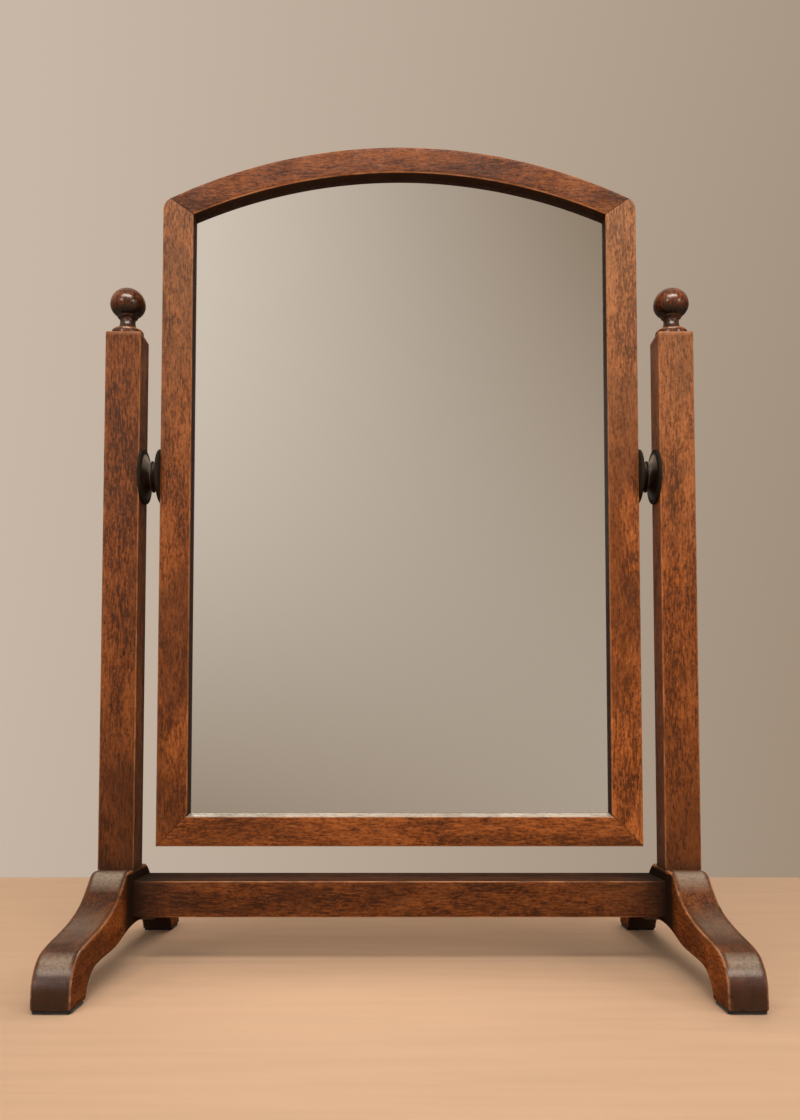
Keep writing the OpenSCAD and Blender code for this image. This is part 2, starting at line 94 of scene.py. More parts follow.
class StandSizes(PropertyGroup):
    """Sizes of the stand that the table holds."""
    block_top: length("Block top", "Height of the feet's blocks", HIGH["right_foot"].z)
    post_top: length("Post top", "Height of the posts", HIGH["right_post"].z)
    post_arris: length("Post arris", "Radius of the posts' worn arrises", 1.1 * MM)
    foot_arris: length("Foot arris", "Radius of the feet's worn arrises", 1.9 * MM)
    foot_taper: length("Foot taper", "Width that a foot loses towards each toe", 2 * MM)
    rail_arris: length("Rail arris", "Radius of the rail's worn arrises", 0.9 * MM)
    shoulder: length("Shoulder", "Drop of a foot's shoulder below its block", 12.5 * MM)
    instep: length("Instep", "Height of a foot's instep", 39 * MM)
    knuckle: length("Knuckle", "Height of a foot's knuckle", 32.5 * MM)
    sole: length("Sole", "Length of the flat sole under a toe", 30 * MM)


class FrameSizes(PropertyGroup):
    """Sizes of the frame that holds the glass."""
    stile: length("Stile", "Width of a stile", 23.75 * MM)
    sill: length("Bottom rail", "Width of the bottom rail", 24 * MM)
    outer_radius: length("Outer radius", "Radius of the arch's outer edge", 400 * MM)
    sight_radius: length("Sight radius", "Radius of the arch's inner edge", 390 * MM)
    arch: length("Arched rail", "Width of the arched rail at its middle", 20.5 * MM)
    shoulder: length("Round shoulder", "Radius of the frame's shoulders", 10 * MM)
    lip: length("Lip", "Depth of the lip in front of the glass", 8 * MM)
    rebate: length("Rebate", "Width that the rebate hides of the glass", 6 * MM)
    lap: length("Lap", "Width that the backing board's rebate reaches", 13 * MM)
    board: length("Board", "Thickness of the backing board", 5 * MM)
    arris: length("Arris", "Radius of the frame's worn arrises", 0.8 * MM)
    mitre: FloatProperty(name="Upper mitre", description="Angle of the upper mitres",
                         default=math.radians(35), subtype="ANGLE")


class TurnedSizes(PropertyGroup):
    """Sizes of the turned finials and spools."""
    ball: length("Ball", "Radius of a finial's ball", 13.2 * MM)
    disc: length("Disc", "Radius of a finial's base disc", 12 * MM)
    neck: length("Neck", "Radius of a finial's neck", 5.7 * MM)
    rim: length("Rim", "Radius of a spool's rims", 20.5 * MM)
    waist: length("Waist", "Radius of a spool's waist", 10.6 * MM)
    steps: IntProperty(name="Steps", description="Steps of a full turn", default=72, min=12)


class Finishes(PropertyGroup):
    """Colours of the wood, metal, leather, felt and glass."""
    walnut_light: tint("Walnut light", "Lightest streaks of the walnut", (163, 93, 43))
    walnut: tint("Walnut", "Main colour of the walnut", (131, 69, 27))
    walnut_dark: tint("Walnut dark", "Dark streaks of the walnut", (78, 40, 15))
    # A dark colour for old stain and dirt, which the shade attribute also mixes in as painted shade in
    # recesses, joints and under things
    stain: tint("Stain", "Old stain and dirt in the recesses", (38, 22, 11))
    worn: tint("Worn arris", "Bare wood on the worn arrises", (203, 141, 96))
    turned: tint("Turned wood", "Main colour of the turned walnut", (106, 50, 18))
    ebonised: tint("Spool wood", "Main colour of the dark spools", (32, 21, 13))
    pine: tint("Pine", "Colour of the backing board", (150, 108, 66))
    brass: tint("Brass", "Colour of the brass", (171, 133, 74))
    steel: tint("Steel", "Colour of the steel", (128, 124, 117))
    leather: tint("Leather", "Colour of the leather", (46, 27, 18))
    # A pale greyish tone that paints a sheen towards the tops of the posts and stiles, where the light
    # falls on the varnish
    bleached: tint("Bleached", "Wood that the light has bleached", (198, 149, 106))
    # A grey tone for rubbed varnish, which also paints sheen on the feet's slopes, on the spools' flares
    # and on the bottom rail's ledge
    bloom: tint("Bloom", "Grey bloom on rubbed varnish", (150, 134, 116))
    felt: tint("Felt", "Colour of the felt", (21, 18, 15))
    silver: tint("Silvering", "Colour of the silvered glass", (246, 245, 242))
    backdrop: tint("Backdrop", "Colour of the backdrop where it is light", (200, 183, 166))
    shaded: tint("Shaded backdrop", "Colour of the backdrop where it is shaded", (157, 139, 120))
    floor: tint("Floor", "Colour of the floor", (210, 172, 140))


def sizes(name):
    return getattr(bpy.context.scene, name)


# Modelling

def deselect():
    if bpy.context.object and bpy.context.object.mode != "OBJECT":
        bpy.ops.object.mode_set(mode="OBJECT")
    bpy.ops.object.select_all(action="DESELECT")


def choose(obj):
    """Makes an object the only selected one."""
    deselect()
    obj.hide_set(False)
    obj.select_set(True)
    bpy.context.view_layer.objects.active = obj


def edit(obj):
    choose(obj)
    bpy.ops.object.mode_set(mode="EDIT")


def done(obj):
    bpy.ops.object.mode_set(mode="OBJECT")
    return obj


def named(obj, name):
    obj.name = name
    obj.data.name = name
    return obj


def settle():
    """Applies the chosen object's place, turn and scale, so that it stays at the origin."""
    bpy.ops.object.transform_apply(location=True, rotation=True, scale=True)


def everything():
    """Selects the whole mesh that is in edit mode."""
    bpy.ops.mesh.select_all(action="SELECT")


def outwards():
    """Turns all the faces of the mesh in edit mode outwards."""
    everything()
    bpy.ops.mesh.normals_make_consistent(inside=False)


def block(name, low, high):
    """A box between two corners, in edit mode."""
    deselect()
    low, high = Vector(low), Vector(high)
    bpy.ops.mesh.primitive_cube_add(size=1, location=(low + high) / 2)
    obj = named(bpy.context.object, name)
    obj.scale = high - low
    settle()
    edit(obj)
    return obj


def cylinder(radius, depth, steps, where=(0, 0, 0), turned=(0, 0, 0)):
    deselect()
    bpy.ops.mesh.primitive_cylinder_add(vertices=steps, radius=radius, depth=depth,
                                        location=where, rotation=turned)
    return bpy.context.object


def pick(obj, kind, test):
    """Selects in edit mode the vertices, edges or faces that pass a test."""
    bpy.ops.mesh.select_mode(type=kind)
    bpy.ops.mesh.select_all(action="DESELECT")
    mesh = bmesh.from_edit_mesh(obj.data)
    mesh.normal_update()
    for item in {"VERT": mesh.verts, "EDGE": mesh.edges, "FACE": mesh.faces}[kind]:
        if test(item):
            item.select_set(True)
    mesh.select_flush_mode()
    bmesh.update_edit_mesh(obj.data)


def middle(edge):
    return (edge.verts[0].co + edge.verts[1].co) / 2


def sharp(edge, least=30):
    return len(edge.link_faces) == 2 and math.degrees(edge.calc_face_angle(0)) > least


def near(a, b, reach=0.02 * MM):
    return abs(a - b) < reach


def loop_at(point, normal, **saw):
    """Adds a loop of edges where a plane meets the whole mesh, or saws it there."""
    everything()
    bpy.ops.mesh.bisect(plane_co=point, plane_no=normal, **saw)


def loops(axis, places):
    """Adds loops of edges across an axis, one at each place."""
    normal = Matrix.Identity(3)[axis]
    for along in places:
        loop_at(along * normal, normal)


def pull(vector):
    bpy.ops.mesh.extrude_region_move(TRANSFORM_OT_translate={"value": vector})


def shift(vector):
    bpy.ops.transform.translate(value=vector)


def inset(width):
    bpy.ops.mesh.inset(thickness=width, use_even_offset=True)


def round_edges(width, segments=4):
    bpy.ops.mesh.bevel(offset=width, segments=segments, profile=0.5, affect="EDGES")


def saw_joint(obj, point, normal, width=0.15 * MM):
    """Saws a mitre and eases its edges, with a loop beside it so that dirt can mark it as a thin line."""
    point, normal = Vector(point), Vector(normal).normalized()
    loop_at(point - 4 * width * normal, normal)
    loop_at(point, normal, use_fill=True, clear_outer=True)

    def on_cut(edge):
        return sharp(edge, 20) and all(near((v.co - point).dot(normal), 0) for v in edge.verts)

    pick(obj, "EDGE", on_cut)
    round_edges(width, 1)


def trace(name, points, closed=False):
    """Draws a line of edges by extruding a vertex from point to point."""
    deselect()
    points = [Vector(p) for p in points]
    bpy.ops.mesh.primitive_plane_add(size=MM, location=points[0])
    obj = named(bpy.context.object, name)
    settle()
    edit(obj)
    bpy.ops.mesh.select_mode(type="VERT")
    everything()
    bpy.ops.mesh.merge(type="CENTER")
    for a, b in zip(points, points[1:]):
        bpy.ops.mesh.extrude_vertices_move(TRANSFORM_OT_translate={"value": b - a})
    if closed:
        pick(obj, "VERT", lambda v: len(v.link_edges) == 1)
        bpy.ops.mesh.edge_face_add()
    everything()
    return obj


def spun(steps, angle, centre, axis):
    """Spins what is selected about an axis, merges the doubles and turns the normals outwards."""
    bpy.ops.mesh.spin(steps=steps, angle=angle, center=centre, axis=axis)
    bpy.ops.mesh.select_mode(type="VERT")
    everything()
    bpy.ops.mesh.remove_doubles(threshold=0.002 * MM)
    outwards()


def turn(name, profile, closed=False):
    """Turns a profile of radius and height, in millimetres, about Z."""
    obj = trace(name, [Vector((r, 0, z)) * MM for r, z in profile], closed)
    spun(sizes("turned_sizes").steps, 2 * math.pi, (0, 0, 0), (0, 0, 1))
    return done(obj)


def place(obj, where, turned=(0, 0, 0)):
    choose(obj)
    obj.location = where
    obj.rotation_euler = turned
    settle()
    return obj


def spare(obj, name):
    """A copy with its own mesh."""
    choose(obj)
    bpy.ops.object.duplicate()
    return named(bpy.context.object, name)


def mirrored(obj, name):
    """A copy on the other side of the middle."""
    copy = spare(obj, name)
    copy.scale.x = -1
    settle()
    edit(copy)
    outwards()
    return done(copy)


def join(objects, name):
    choose(objects[0])
    for obj in objects[1:]:
        obj.select_set(True)
    bpy.ops.object.join()
    return named(bpy.context.object, name)


def drill_out(obj, drill):
    """Cuts the shape of a drill out of a piece, and removes the drill."""
    choose(obj)
    bpy.ops.object.modifier_add(type="BOOLEAN")
    cut = obj.modifiers[-1]
    cut.object = drill
    cut.solver = "EXACT"
    bpy.ops.object.modifier_apply(modifier=cut.name)
    bpy.data.objects.remove(drill)


def slot_in(obj, top, deep, half, reach):
    """Sinks a screwdriver slot, as wide as twice a half, across the top of a turned head."""
    edit(obj)
    loops(Y, (-half, half))

    def floor(face):
        p = face.calc_center_median()
        return abs(p.y) < half and abs(p.x) < reach and p.z > top - 0.9 * deep and face.normal.z > 0.4

    pick(obj, "FACE", floor)
    pull((0, 0, -deep))
    return done(obj)


def store(obj, name, values):
    layer = obj.data.attributes.get(name) or obj.data.attributes.new(name, "FLOAT", "POINT")
    layer.data.foreach_set("value", values)


def mark_arrises(obj, keep=lambda point: True, wide=0.75, crisp=0.0):
    """Stores how near each vertex is to a worn arris: most along the middle of its rounding."""
    mesh = bmesh.new()
    mesh.from_mesh(obj.data)
    mesh.normal_update()
    bent = []
    for v in mesh.verts:
        bend = max((math.degrees(e.calc_face_angle(0)) for e in v.link_edges if len(e.link_faces) == 2),
                   default=0)
        share = crisp if bend > 60 else min(1, max(0, (bend - 13) / 6))
        bent.append(share if keep(v.co) else 0)
    store(obj, "worn", [bent[v.index] * (wide + (1 - wide) * min(bent[e.other_vert(v).index]
                                                                 for e in v.link_edges))
                        for v in mesh.verts])
    mesh.free()


def mark(obj, name, shade, over=False):
    """Stores a value for each vertex, worked out from its place, over what is stored where it is more."""
    values = [max(0, min(1, shade(v.co))) for v in obj.data.vertices]
    if over:
        values = [max(value, old.value) for value, old in zip(values, obj.data.attributes[name].data)]
    store(obj, name, values)


def thinning(distance, reach):
    """How much dirt is left at a distance from where it gathers."""
    return math.exp(-max(0, distance) / reach)


def band(value, centre, half):
    """1 at a centre, 0 at half a band's width from it, and less outside."""
    return 1 - abs(value - centre) / half


def second(obj, material, test):
    """Gives the faces that pass a test a material of their own."""
    obj.data.materials.append(material)
    for face in obj.data.polygons:
        face.material_index = 1 if test(face) else 0


def finish(obj, body, material, node, smooth=32):
    """Shades a piece, gives it its material, and seats it on its body in a node's stead."""
    choose(obj)
    bpy.ops.object.shade_smooth_by_angle(angle=math.radians(smooth))
    obj.data.materials.clear()
    obj.data.materials.append(material)
    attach(obj, body)
    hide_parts(node)


def finish_both(obj, body, material, node, smooth=28):
    """Finishes a right-hand piece and its mirror image on the left."""
    other = mirrored(obj, obj.name.replace("right", "left"))
    finish(obj, body, material, "right_" + node, smooth)
    finish(other, body, material, "left_" + node, smooth)


def curve(a, b, c, d, n=10):
    """Points of a cubic curve, without its first one."""
    out = []
    for i in range(1, n + 1):
        t = i / n
        u = 1 - t
        out.append(tuple(u * u * u * p + 3 * u * u * t * q + 3 * u * t * t * r + t * t * t * s
                         for p, q, r, s in zip(a, b, c, d)))
    return out


# Materials

def darker(colour, share):
    """A colour made darker, or lighter where the share is over 1."""
    return tuple(c * share for c in colour)


def colour_of(name, share=1.0):
    """A colour of the finishes, or a darker or lighter share of it."""
    return darker(getattr(sizes("finishes"), name), share)


def shades(name, light, main, dark):
    return [colour_of(name, share) for share in (light, main, dark)]


class Tree:
    """A node tree, built step by step."""

    def __init__(self, tree):
        self.tree = tree
        tree.nodes.clear()

    def node(self, kind, inputs=None, **settings):
        """A node with its settings and its inputs, which are named or numbered."""
        node = self.tree.nodes.new(kind)
        for key, value in settings.items():
            setattr(node, key, value)
        for key, value in (inputs or {}).items():
            self.put(node.inputs[key], value)
        return node

    def put(self, socket, value):
        """A link where the value is another node's output, and a plain value where it isn't."""
        if isinstance(value, bpy.types.NodeSocket):
            self.tree.links.new(value, socket)
        else:
            socket.default_value = value

    def mapped(self, vector, scale=(1, 1, 1), turned=(0, 0, 0), moved=(0, 0, 0)):
        return self.node("ShaderNodeMapping", {"Vector": vector, "Location": moved, "Rotation": turned,
                                               "Scale": scale}).outputs[0]

    def noise(self, vector, scale, detail=3, rough=0.5, warp=0, out="Fac"):
        return self.node("ShaderNodeTexNoise", {"Vector": vector, "Scale": scale, "Detail": detail,
                                                "Roughness": rough, "Distortion": warp}).outputs[out]

    def cells(self, vector, scale):
        return self.node("ShaderNodeTexVoronoi", {"Vector": vector, "Scale": scale}).outputs["Distance"]

    def axes(self, vector):
        return self.node("ShaderNodeSeparateXYZ", {0: vector}).outputs

    def sums(self, operation, a, b=0.0, c=0.0):
        return self.node("ShaderNodeMath", {0: a, 1: b, 2: c}, operation=operation).outputs[0]

    def times(self, a, b, plus=0.0):
        return self.sums("MULTIPLY_ADD", a, b, plus)

    def vector(self, operation, a, b):
        return self.node("ShaderNodeVectorMath", {0: a, 1: b}, operation=operation).outputs[0]

    def range(self, value, low, high, to_low=0.0, to_high=1.0, smooth=True):
        return self.node("ShaderNodeMapRange", {"Value": value, "From Min": low, "From Max": high,
                                                "To Min": to_low, "To Max": to_high},
                         interpolation_type="SMOOTHSTEP" if smooth else "LINEAR").outputs[0]

    def mix(self, factor, a, b):
        a, b = (v if isinstance(v, bpy.types.NodeSocket) else (*v, 1) for v in (a, b))
        return self.node("ShaderNodeMix", {0: factor, 6: a, 7: b}, data_type="RGBA").outputs[2]

    def attribute(self, name):
        return self.node("ShaderNodeAttribute", attribute_name=name).outputs["Fac"]

    def bump(self, height, distance, strength=1.0, after=None):
        under = {"Normal": after} if after else {}
        return self.node("ShaderNodeBump", {"Height": height, "Distance": distance,
                                            "Strength": strength, **under}).outputs[0]


class Recipe(Tree):
    """A material's node tree around one shader."""

    def __init__(self, name):
        self.material = bpy.data.materials.get(name) or bpy.data.materials.new(name)
        self.material.use_nodes = True
        super().__init__(self.material.node_tree)
        self.shader = self.node("ShaderNodeBsdfPrincipled")
        self.node("ShaderNodeOutputMaterial", {"Surface": self.shader.outputs[0]})
        self.place = self.node("ShaderNodeTexCoord").outputs["Object"]

    def set(self, **values):
        for key, value in values.items():
            if isinstance(value, tuple) and len(value) == 3:
                value = (*value, 1)
            self.put(self.shader.inputs[key.replace("_", " ")], value)
        return self.material


ALONG = {"Z": (0, 0, 0), "X": (0, -QUARTER, 0), "Y": (QUARTER, 0, 0)}


class Wood(Recipe):
    """The recipe of a wood, its grain along an axis and its heart at a place in millimetres."""

    def __init__(self, name, grain, heart, tilt):
        super().__init__(name)
        straight = self.mapped(self.place, moved=Vector(heart) * -MM)
        self.board = self.mapped(straight, turned=ALONG[grain])
        sway = self.vector("SUBTRACT", self.noise(self.board, 6, 2, out="Color"), (0.5, 0.5, 0.5))
        self.wavy = self.vector("ADD", self.board, self.vector("MULTIPLY", sway, (0.012, 0.012, 0.02)))
        self.tilted = self.mapped(self.wavy, turned=(math.radians(tilt), math.radians(tilt * 0.6), 0),
                                  scale=(1, 1, 0.3))
        self.streaks = self.layer(self.wavy, 0.2, 620, 4, 0.62)

    def layer(self, vector, squash, size, detail=4, rough=0.6, warp=0, moved=(0, 0, 0)):
        """Noise that is drawn out along the grain where the squash is under 1."""
        return self.noise(self.mapped(vector, scale=(1, 1, squash), moved=moved), size, detail, rough, warp)

    def tone(self):
        """How light the figure is: streaks, fibres, mottle, clouds and a trace of the rings."""
        rings = self.node("ShaderNodeTexWave",
                          {"Vector": self.tilted, "Scale": 21, "Distortion": 3, "Detail": 3,
                           "Detail Scale": 5, "Detail Roughness": 0.6},
                          wave_type="RINGS", rings_direction="Z", wave_profile="SIN").outputs["Fac"]
        fibres = self.layer(self.wavy, 0.06, 1500, 4, 0.7)
        mottle = self.layer(self.wavy, 0.5, 700, 4, 0.66, moved=(5, 2, 9))
        clouds = self.layer(self.tilted, 1.2, 48, 5, 0.62, 0.5, (3, 1, 2))
        tone = 0.0
        for part, edge, share in ((self.streaks, 0.32, 0.26), (fibres, 0.32, 0.20),
                                  (mottle, 0.32, 0.24), (clouds, 0.34, 0.22)):
            tone = self.times(self.range(part, edge, 1 - edge), share, tone)
        return self.times(rings, 0.08, tone)

    def flecks(self):
        """Open pores, short dark seams and pin knots."""
        pores = self.range(self.layer(self.wavy, 0.14, 1250, 3), 0.60, 0.68)
        seam = self.sums("SUBTRACT", self.layer(self.wavy, 0.07, 210, moved=(2, 8, 4)), 0.5)
        seam = self.range(self.sums("ABSOLUTE", seam), 0.0, 0.013, 1, 0)
        broken = self.range(self.layer(self.board, 0.5, 130, 3, moved=(4, 4, 4)), 0.54, 0.64)
        knots = self.cells(self.mapped(self.wavy, scale=(1, 1, 0.6), moved=(2, 6, 3)), 44)
        knots = self.range(knots, 0.03, 0.08, 1, 0)
        return self.sums("MAXIMUM", self.sums("MAXIMUM", pores, self.times(seam, broken)), knots)

    def rubbed(self, shade, wear):
        """How bare the worn arrises are, in patches, and less so where dirt and painted shade lie."""
        patches = self.range(self.layer(self.board, 0.3, 160, 4, 0.65), 0.34, 0.64, 0.25, 1.0)
        return self.times(self.times(self.attribute("worn"), patches), self.times(shade, -wear, wear))

    def bloom(self):
        """How grey the rubbed varnish is, with the painted sheen that the same attribute carries."""
        streaked = self.range(self.layer(self.board, 0.4, 700, 4, 0.7), 0.3, 0.66, 0.5, 1.0)
        return self.times(self.attribute("bloom"), streaked)


def wood(name, grain, heart, colours, wear=1.0, gloss=0.42, coat=0.03, polish=0.22, tilt=2.5, fade=None,
         bleach=None, level=0.1, deep=None, sheen=(1, 1, 1)):
    """Polished old wood: its figure, its stain, dirt and wear, painted shade and painted sheen, and its
    varnish.
    """
    light, main, dark = colours
    stain = deep or colour_of("stain")
    r = Wood(name, grain, heart, tilt)
    tone = r.tone()
    colour = r.mix(r.range(tone, 0.28, 0.54), dark, main)
    colour = r.mix(r.range(tone, 0.50, 0.76), colour, light)
    dark_patch = r.range(r.layer(r.board, 0.5, 21, 4, 0.6, 0.4, (7, 5, 1)), 0.54, 0.36)
    colour = r.mix(r.times(dark_patch, 0.55), colour, dark)

    # Darker towards the bottom, and a painted sheen towards the top, where the light falls on the varnish
    height = r.axes(r.place)[Z]
    for reach, tint_of, ends in ((fade, stain, (1, 0)), (bleach, colour_of("bleached"), (0, 1))):
        if reach:
            low, high, share = reach
            part = r.times(r.range(height, low * MM, high * MM, *ends), share)
            part = r.times(part, r.range(tone, 0.3, 0.7, 0.5, 1.3))
            colour = r.mix(part, colour, tint_of)

    # The shade attribute mixes in the dark colour as dirt and painted shade; the bloom attribute mixes in
    # grey as rubbed varnish and painted sheen
    flecks, shade = r.flecks(), r.attribute("shade")
    colour = r.mix(r.times(flecks, 0.7), colour, stain)
    colour = r.mix(shade, colour, stain)
    colour = r.mix(r.rubbed(shade, wear), colour, colour_of("worn"))
    colour = r.mix(r.bloom(), colour, colour_of("bloom"))

    dents = r.bump(r.noise(r.board, 55, 3, 0.55), 0.6 * MM, 0.55)
    normal = r.bump(r.times(flecks, -1.0, r.times(r.streaks, 0.5)), 0.12 * MM, 0.6, dents)
    rough = r.range(r.noise(r.board, 60, 4, 0.6), 0.3, 0.75, gloss - 0.08, gloss + 0.2, smooth=False)
    rough = r.times(shade, 0.5, r.times(flecks, 0.15, rough))
    return r.set(Base_Color=colour, Roughness=rough, Normal=normal, Specular_IOR_Level=level,
                 Specular_Tint=sheen, Coat_Weight=coat, Coat_Roughness=polish)


def walnut(name, grain, heart, share=1.0, **extra):
    colours = [colour_of(tone, share) for tone in ("walnut_light", "walnut", "walnut_dark")]
    return wood(name, grain, heart, colours, **extra)


def metal(name, colour, rough, dirt):
    r = Recipe(name)
    patches = r.noise(r.place, 260, 4, 0.6)
    shade = r.mix(r.times(r.range(patches, 0.45, 0.75), dirt), colour, colour_of("stain", 1.5))
    lines = r.noise(r.mapped(r.place, scale=(1, 1, 12)), 700, 2)
    return r.set(Base_Color=shade, Metallic=1.0,
                 Roughness=r.range(patches, 0.3, 0.8, rough - 0.08, rough + 0.25, smooth=False),
                 Normal=r.bump(lines, 0.02 * MM, 0.5))


def leather(name):
    r = Recipe(name)
    fibres = r.noise(r.place, 420, 4, 0.6)
    colour = r.mix(r.range(fibres, 0.35, 0.7), colour_of("leather", 0.6), colour_of("leather", 1.7))
    return r.set(Base_Color=colour, Roughness=r.range(fibres, 0.3, 0.7, 0.45, 0.75, smooth=False),
                 Normal=r.bump(r.cells(r.place, 1500), 0.15 * MM, 0.5))


def felt(name):
    r = Recipe(name)
    fibres = r.noise(r.place, 1500, 4, 0.7, 1.2)
    mixed = r.times(fibres, 0.6, r.times(r.noise(r.place, 240, 3, 0.6), 0.4))
    colour = r.mix(r.range(mixed, 0.35, 0.65), colour_of("felt", 0.55), colour_of("felt", 1.8))
    return r.set(Base_Color=colour, Roughness=0.95, Sheen_Weight=0.12, Sheen_Roughness=0.5,
                 Normal=r.bump(fibres, 0.35 * MM, 0.8))


def silvered(name):
    """Silvered glass with a trace of haze, and a few spots where the silver has gone at the edges."""
    r = Recipe(name)
    haze = r.noise(r.place, 14, 4, 0.6, 0.5)
    wipe = r.noise(r.mapped(r.place, scale=(1, 1, 0.2), turned=(0, 0.5, 0)), 60, 3, 0.6)
    spots = r.noise(r.place, 330, 4, 0.65)
    foxing = r.times(r.range(spots, 0.60, 0.72), r.attribute("worn"))
    colour = r.mix(r.times(foxing, 0.55), colour_of("silver"), colour_of("stain", 2))
    dull = r.times(r.range(haze, 0.35, 0.7), 0.035, r.times(r.range(wipe, 0.5, 0.8), 0.02))
    return r.set(Base_Color=colour, Metallic=1.0, Roughness=r.sums("ADD", dull, 0.015),
                 Coat_Weight=0.5, Coat_Roughness=0.02)


def painted_back(name):
    """The grey paint on the silvering's back, and the ground edge of the glass."""
    r = Recipe(name)
    coat = r.noise(r.place, 90, 4, 0.6)
    colour = r.mix(r.range(coat, 0.3, 0.7), srgb(70, 66, 60), srgb(104, 98, 88))
    return r.set(Base_Color=colour, Roughness=0.6, Normal=r.bump(coat, 0.1 * MM, 0.5))


# Pieces

def foot_outline():
    """A foot's outline in Y and Z, in millimetres, from its front toe's heel over the top and back."""
    stand = sizes("stand_sizes")
    reach = HIGH["right_foot"].y / MM
    ground = LOW["right_foot"].z / MM
    top = stand.block_top / MM
    shoulder = (46, top - stand.shoulder / MM)
    instep = (100, stand.instep / MM)
    knuckle = (reach - 15, stand.knuckle / MM)
    toe = (reach, ground + 8)
    heel = (reach - stand.sole / MM, ground)
    arch = (100, 18)
    throat = (44, 22.5)
    crown = (0, 28)
    end = BLOCK_HALF / MM

    def by(point, y, z):
        return point[0] + y, point[1] + z

    half = [(8, top), (16, top), (end, top)]
    half += curve((end, top), (end + 7, top), by(shoulder, -9, 6.2), shoulder, 8)
    half += curve(shoulder, by(shoulder, 13, -9), by(instep, -21, 3), instep, 12)
    half += curve(instep, by(instep, 16, -2.3), by(knuckle, -9, 3.2), knuckle, 10)
    half += curve(knuckle, by(knuckle, 9.5, -3.6), by(toe, 0, 10), toe, 12)
    half += [(reach, ground), heel]
    half += curve(heel, by(heel, -2.5, 8), by(arch, 13, -1.5), arch, 10)
    half += curve(arch, by(arch, -20, 2.2), by(throat, 17, -4), throat, 10)
    half += curve(throat, by(throat, -14, 3), by(crown, 20, 0), crown, 8)
    return [(0, top)] + half + [(-y, z) for y, z in reversed(half[:-1])]


class MIRROR_OT_feet(Operator):
    """Model the two sledge feet from the outline of one"""
    bl_idname = "mirror.feet"
    bl_label = "Feet"

    def shape(self, stand, low, high):
        """One foot, looped where dirt and painted shade gather, its arrises rounded, tapering towards its
        toes.
        """
        wide, margin = high.x - low.x, 4 * MM
        points = [Vector((low.x, y * MM, z * MM)) for y, z in foot_outline()]
        foot = trace("right_foot_wood", points, closed=True)
        bpy.ops.mesh.edge_face_add()
        pull((wide, 0, 0))
        outwards()
        loops(X, (low.x + margin, high.x - margin))
        pick(foot, "FACE", lambda face: abs(face.normal.x) > 0.9)
        inset(margin)

        def outline(edge):
            p = middle(edge)
            at_toe = near(p.z, low.z) and near(abs(p.y), high.y)
            return sharp(edge, 60) and (near(p.x, low.x) or near(p.x, high.x) or at_toe)

        pick(foot, "EDGE", outline)
        round_edges(stand.foot_arris)
        loops(Y, [k * 6 * MM for k in range(-8, 9)] + [k * 3 * MM for k in (-11, -9, 9, 11)])
        loops(Z, [k * MM for k in range(29, 66, 6)])
        loops(X, (low.x + 9 * MM, high.x - 9 * MM))
        done(foot)
        centre = (low.x + high.x) / 2
        for v in foot.data.vertices:
            along = max(0, abs(v.co.y) - BLOCK_HALF) / (high.y - BLOCK_HALF)
            v.co.x = centre + (v.co.x - centre) * (1 - stand.foot_taper / wide * along)
        return foot

    def wear_dirt_and_shade(self, foot, stand, low, high):
        mark_arrises(foot, wide=0.3)
        rail_low, rail_high = LOW["stretcher_rail"], HIGH["stretcher_rail"]
        underneath = {tuple(v.co) for v in foot.data.vertices if v.normal.z < -0.35}
        centre, half = (low.x + high.x) / 2, (high.x - low.x) / 2

        def dirt_and_shade(p):
            """Old dirt and painted shade: underneath, along the sole by the floor, around the post and
            around the rail's end.
            """
            if tuple(p) in underneath:
                return 0.85
            sole = 0.8 * thinning(p.z - low.z, 2.5 * MM)
            if p.z > stand.block_top - 2 * MM:
                return sole + 0.6 * max(0, 1 - max(0, abs(p.y) - 13 * MM) / (5 * MM))
            if p.x > low.x + 1.2 * MM:
                return sole
            away = math.hypot(max(rail_low.y - p.y, 0, p.y - rail_high.y),
                              max(rail_low.z - p.z, 0, p.z - rail_high.z))
            return sole + 1.1 * thinning(away - 14 * MM, 11 * MM)

        def rubbed(p):
            """The varnish of the toe's top, the instep and the shoulder, rubbed grey and painted with a
            grey sheen where the light catches these slopes.
            """
            if abs(p.x - centre) > half - 1.6 * stand.foot_arris:
                return 0
            y, z = abs(p.y) / MM, p.z / MM
            toe = 1.3 - abs(y - high.y / MM + 9) / 7 if z > 22 else 0
            shoulder = 1.35 - abs(y - 31) / 11 if z > 50 else 0
            instep = 0.4 - abs(y - 92) / 90 if 30 < z < 50 else 0
            return 0.8 * max(0.9 * toe, shoulder, instep)

        mark(foot, "shade", dirt_and_shade)
        mark(foot, "bloom", rubbed)

    def execute(self, context):
        stand = sizes("stand_sizes")
        low, high = LOW["right_foot"], HIGH["right_foot"]
        foot = self.shape(stand, low, high)
        self.wear_dirt_and_shade(foot, stand, low, high)
        other = mirrored(foot, "left_foot_wood")
        # The right foot's lighter share and brighter worn arrises, against the left's, are painted light
        # and shade across the stand; the side faces take a lighter copy of the walnut as painted light,
        # with a duller varnish
        for obj, node, heart, share, wear in ((foot, "right_foot", (250, 20, 95), 0.52, 0.95),
                                              (other, "left_foot", (-180, -40, 88), 0.44, 0.65)):
            top = walnut("walnut_" + node, "Y", heart, share, wear=wear, gloss=0.34, coat=0.12,
                         polish=0.22, fade=(10, 30, 0.74), level=0.18)
            side = walnut("walnut_" + node + "_side", "Y", heart, share + 0.5, wear=wear, gloss=0.6,
                          coat=0.0, level=0.05)
            finish(obj, "stand", top, node)
            second(obj, side, lambda face: abs(face.normal.x) > 0.9)
        return {"FINISHED"}


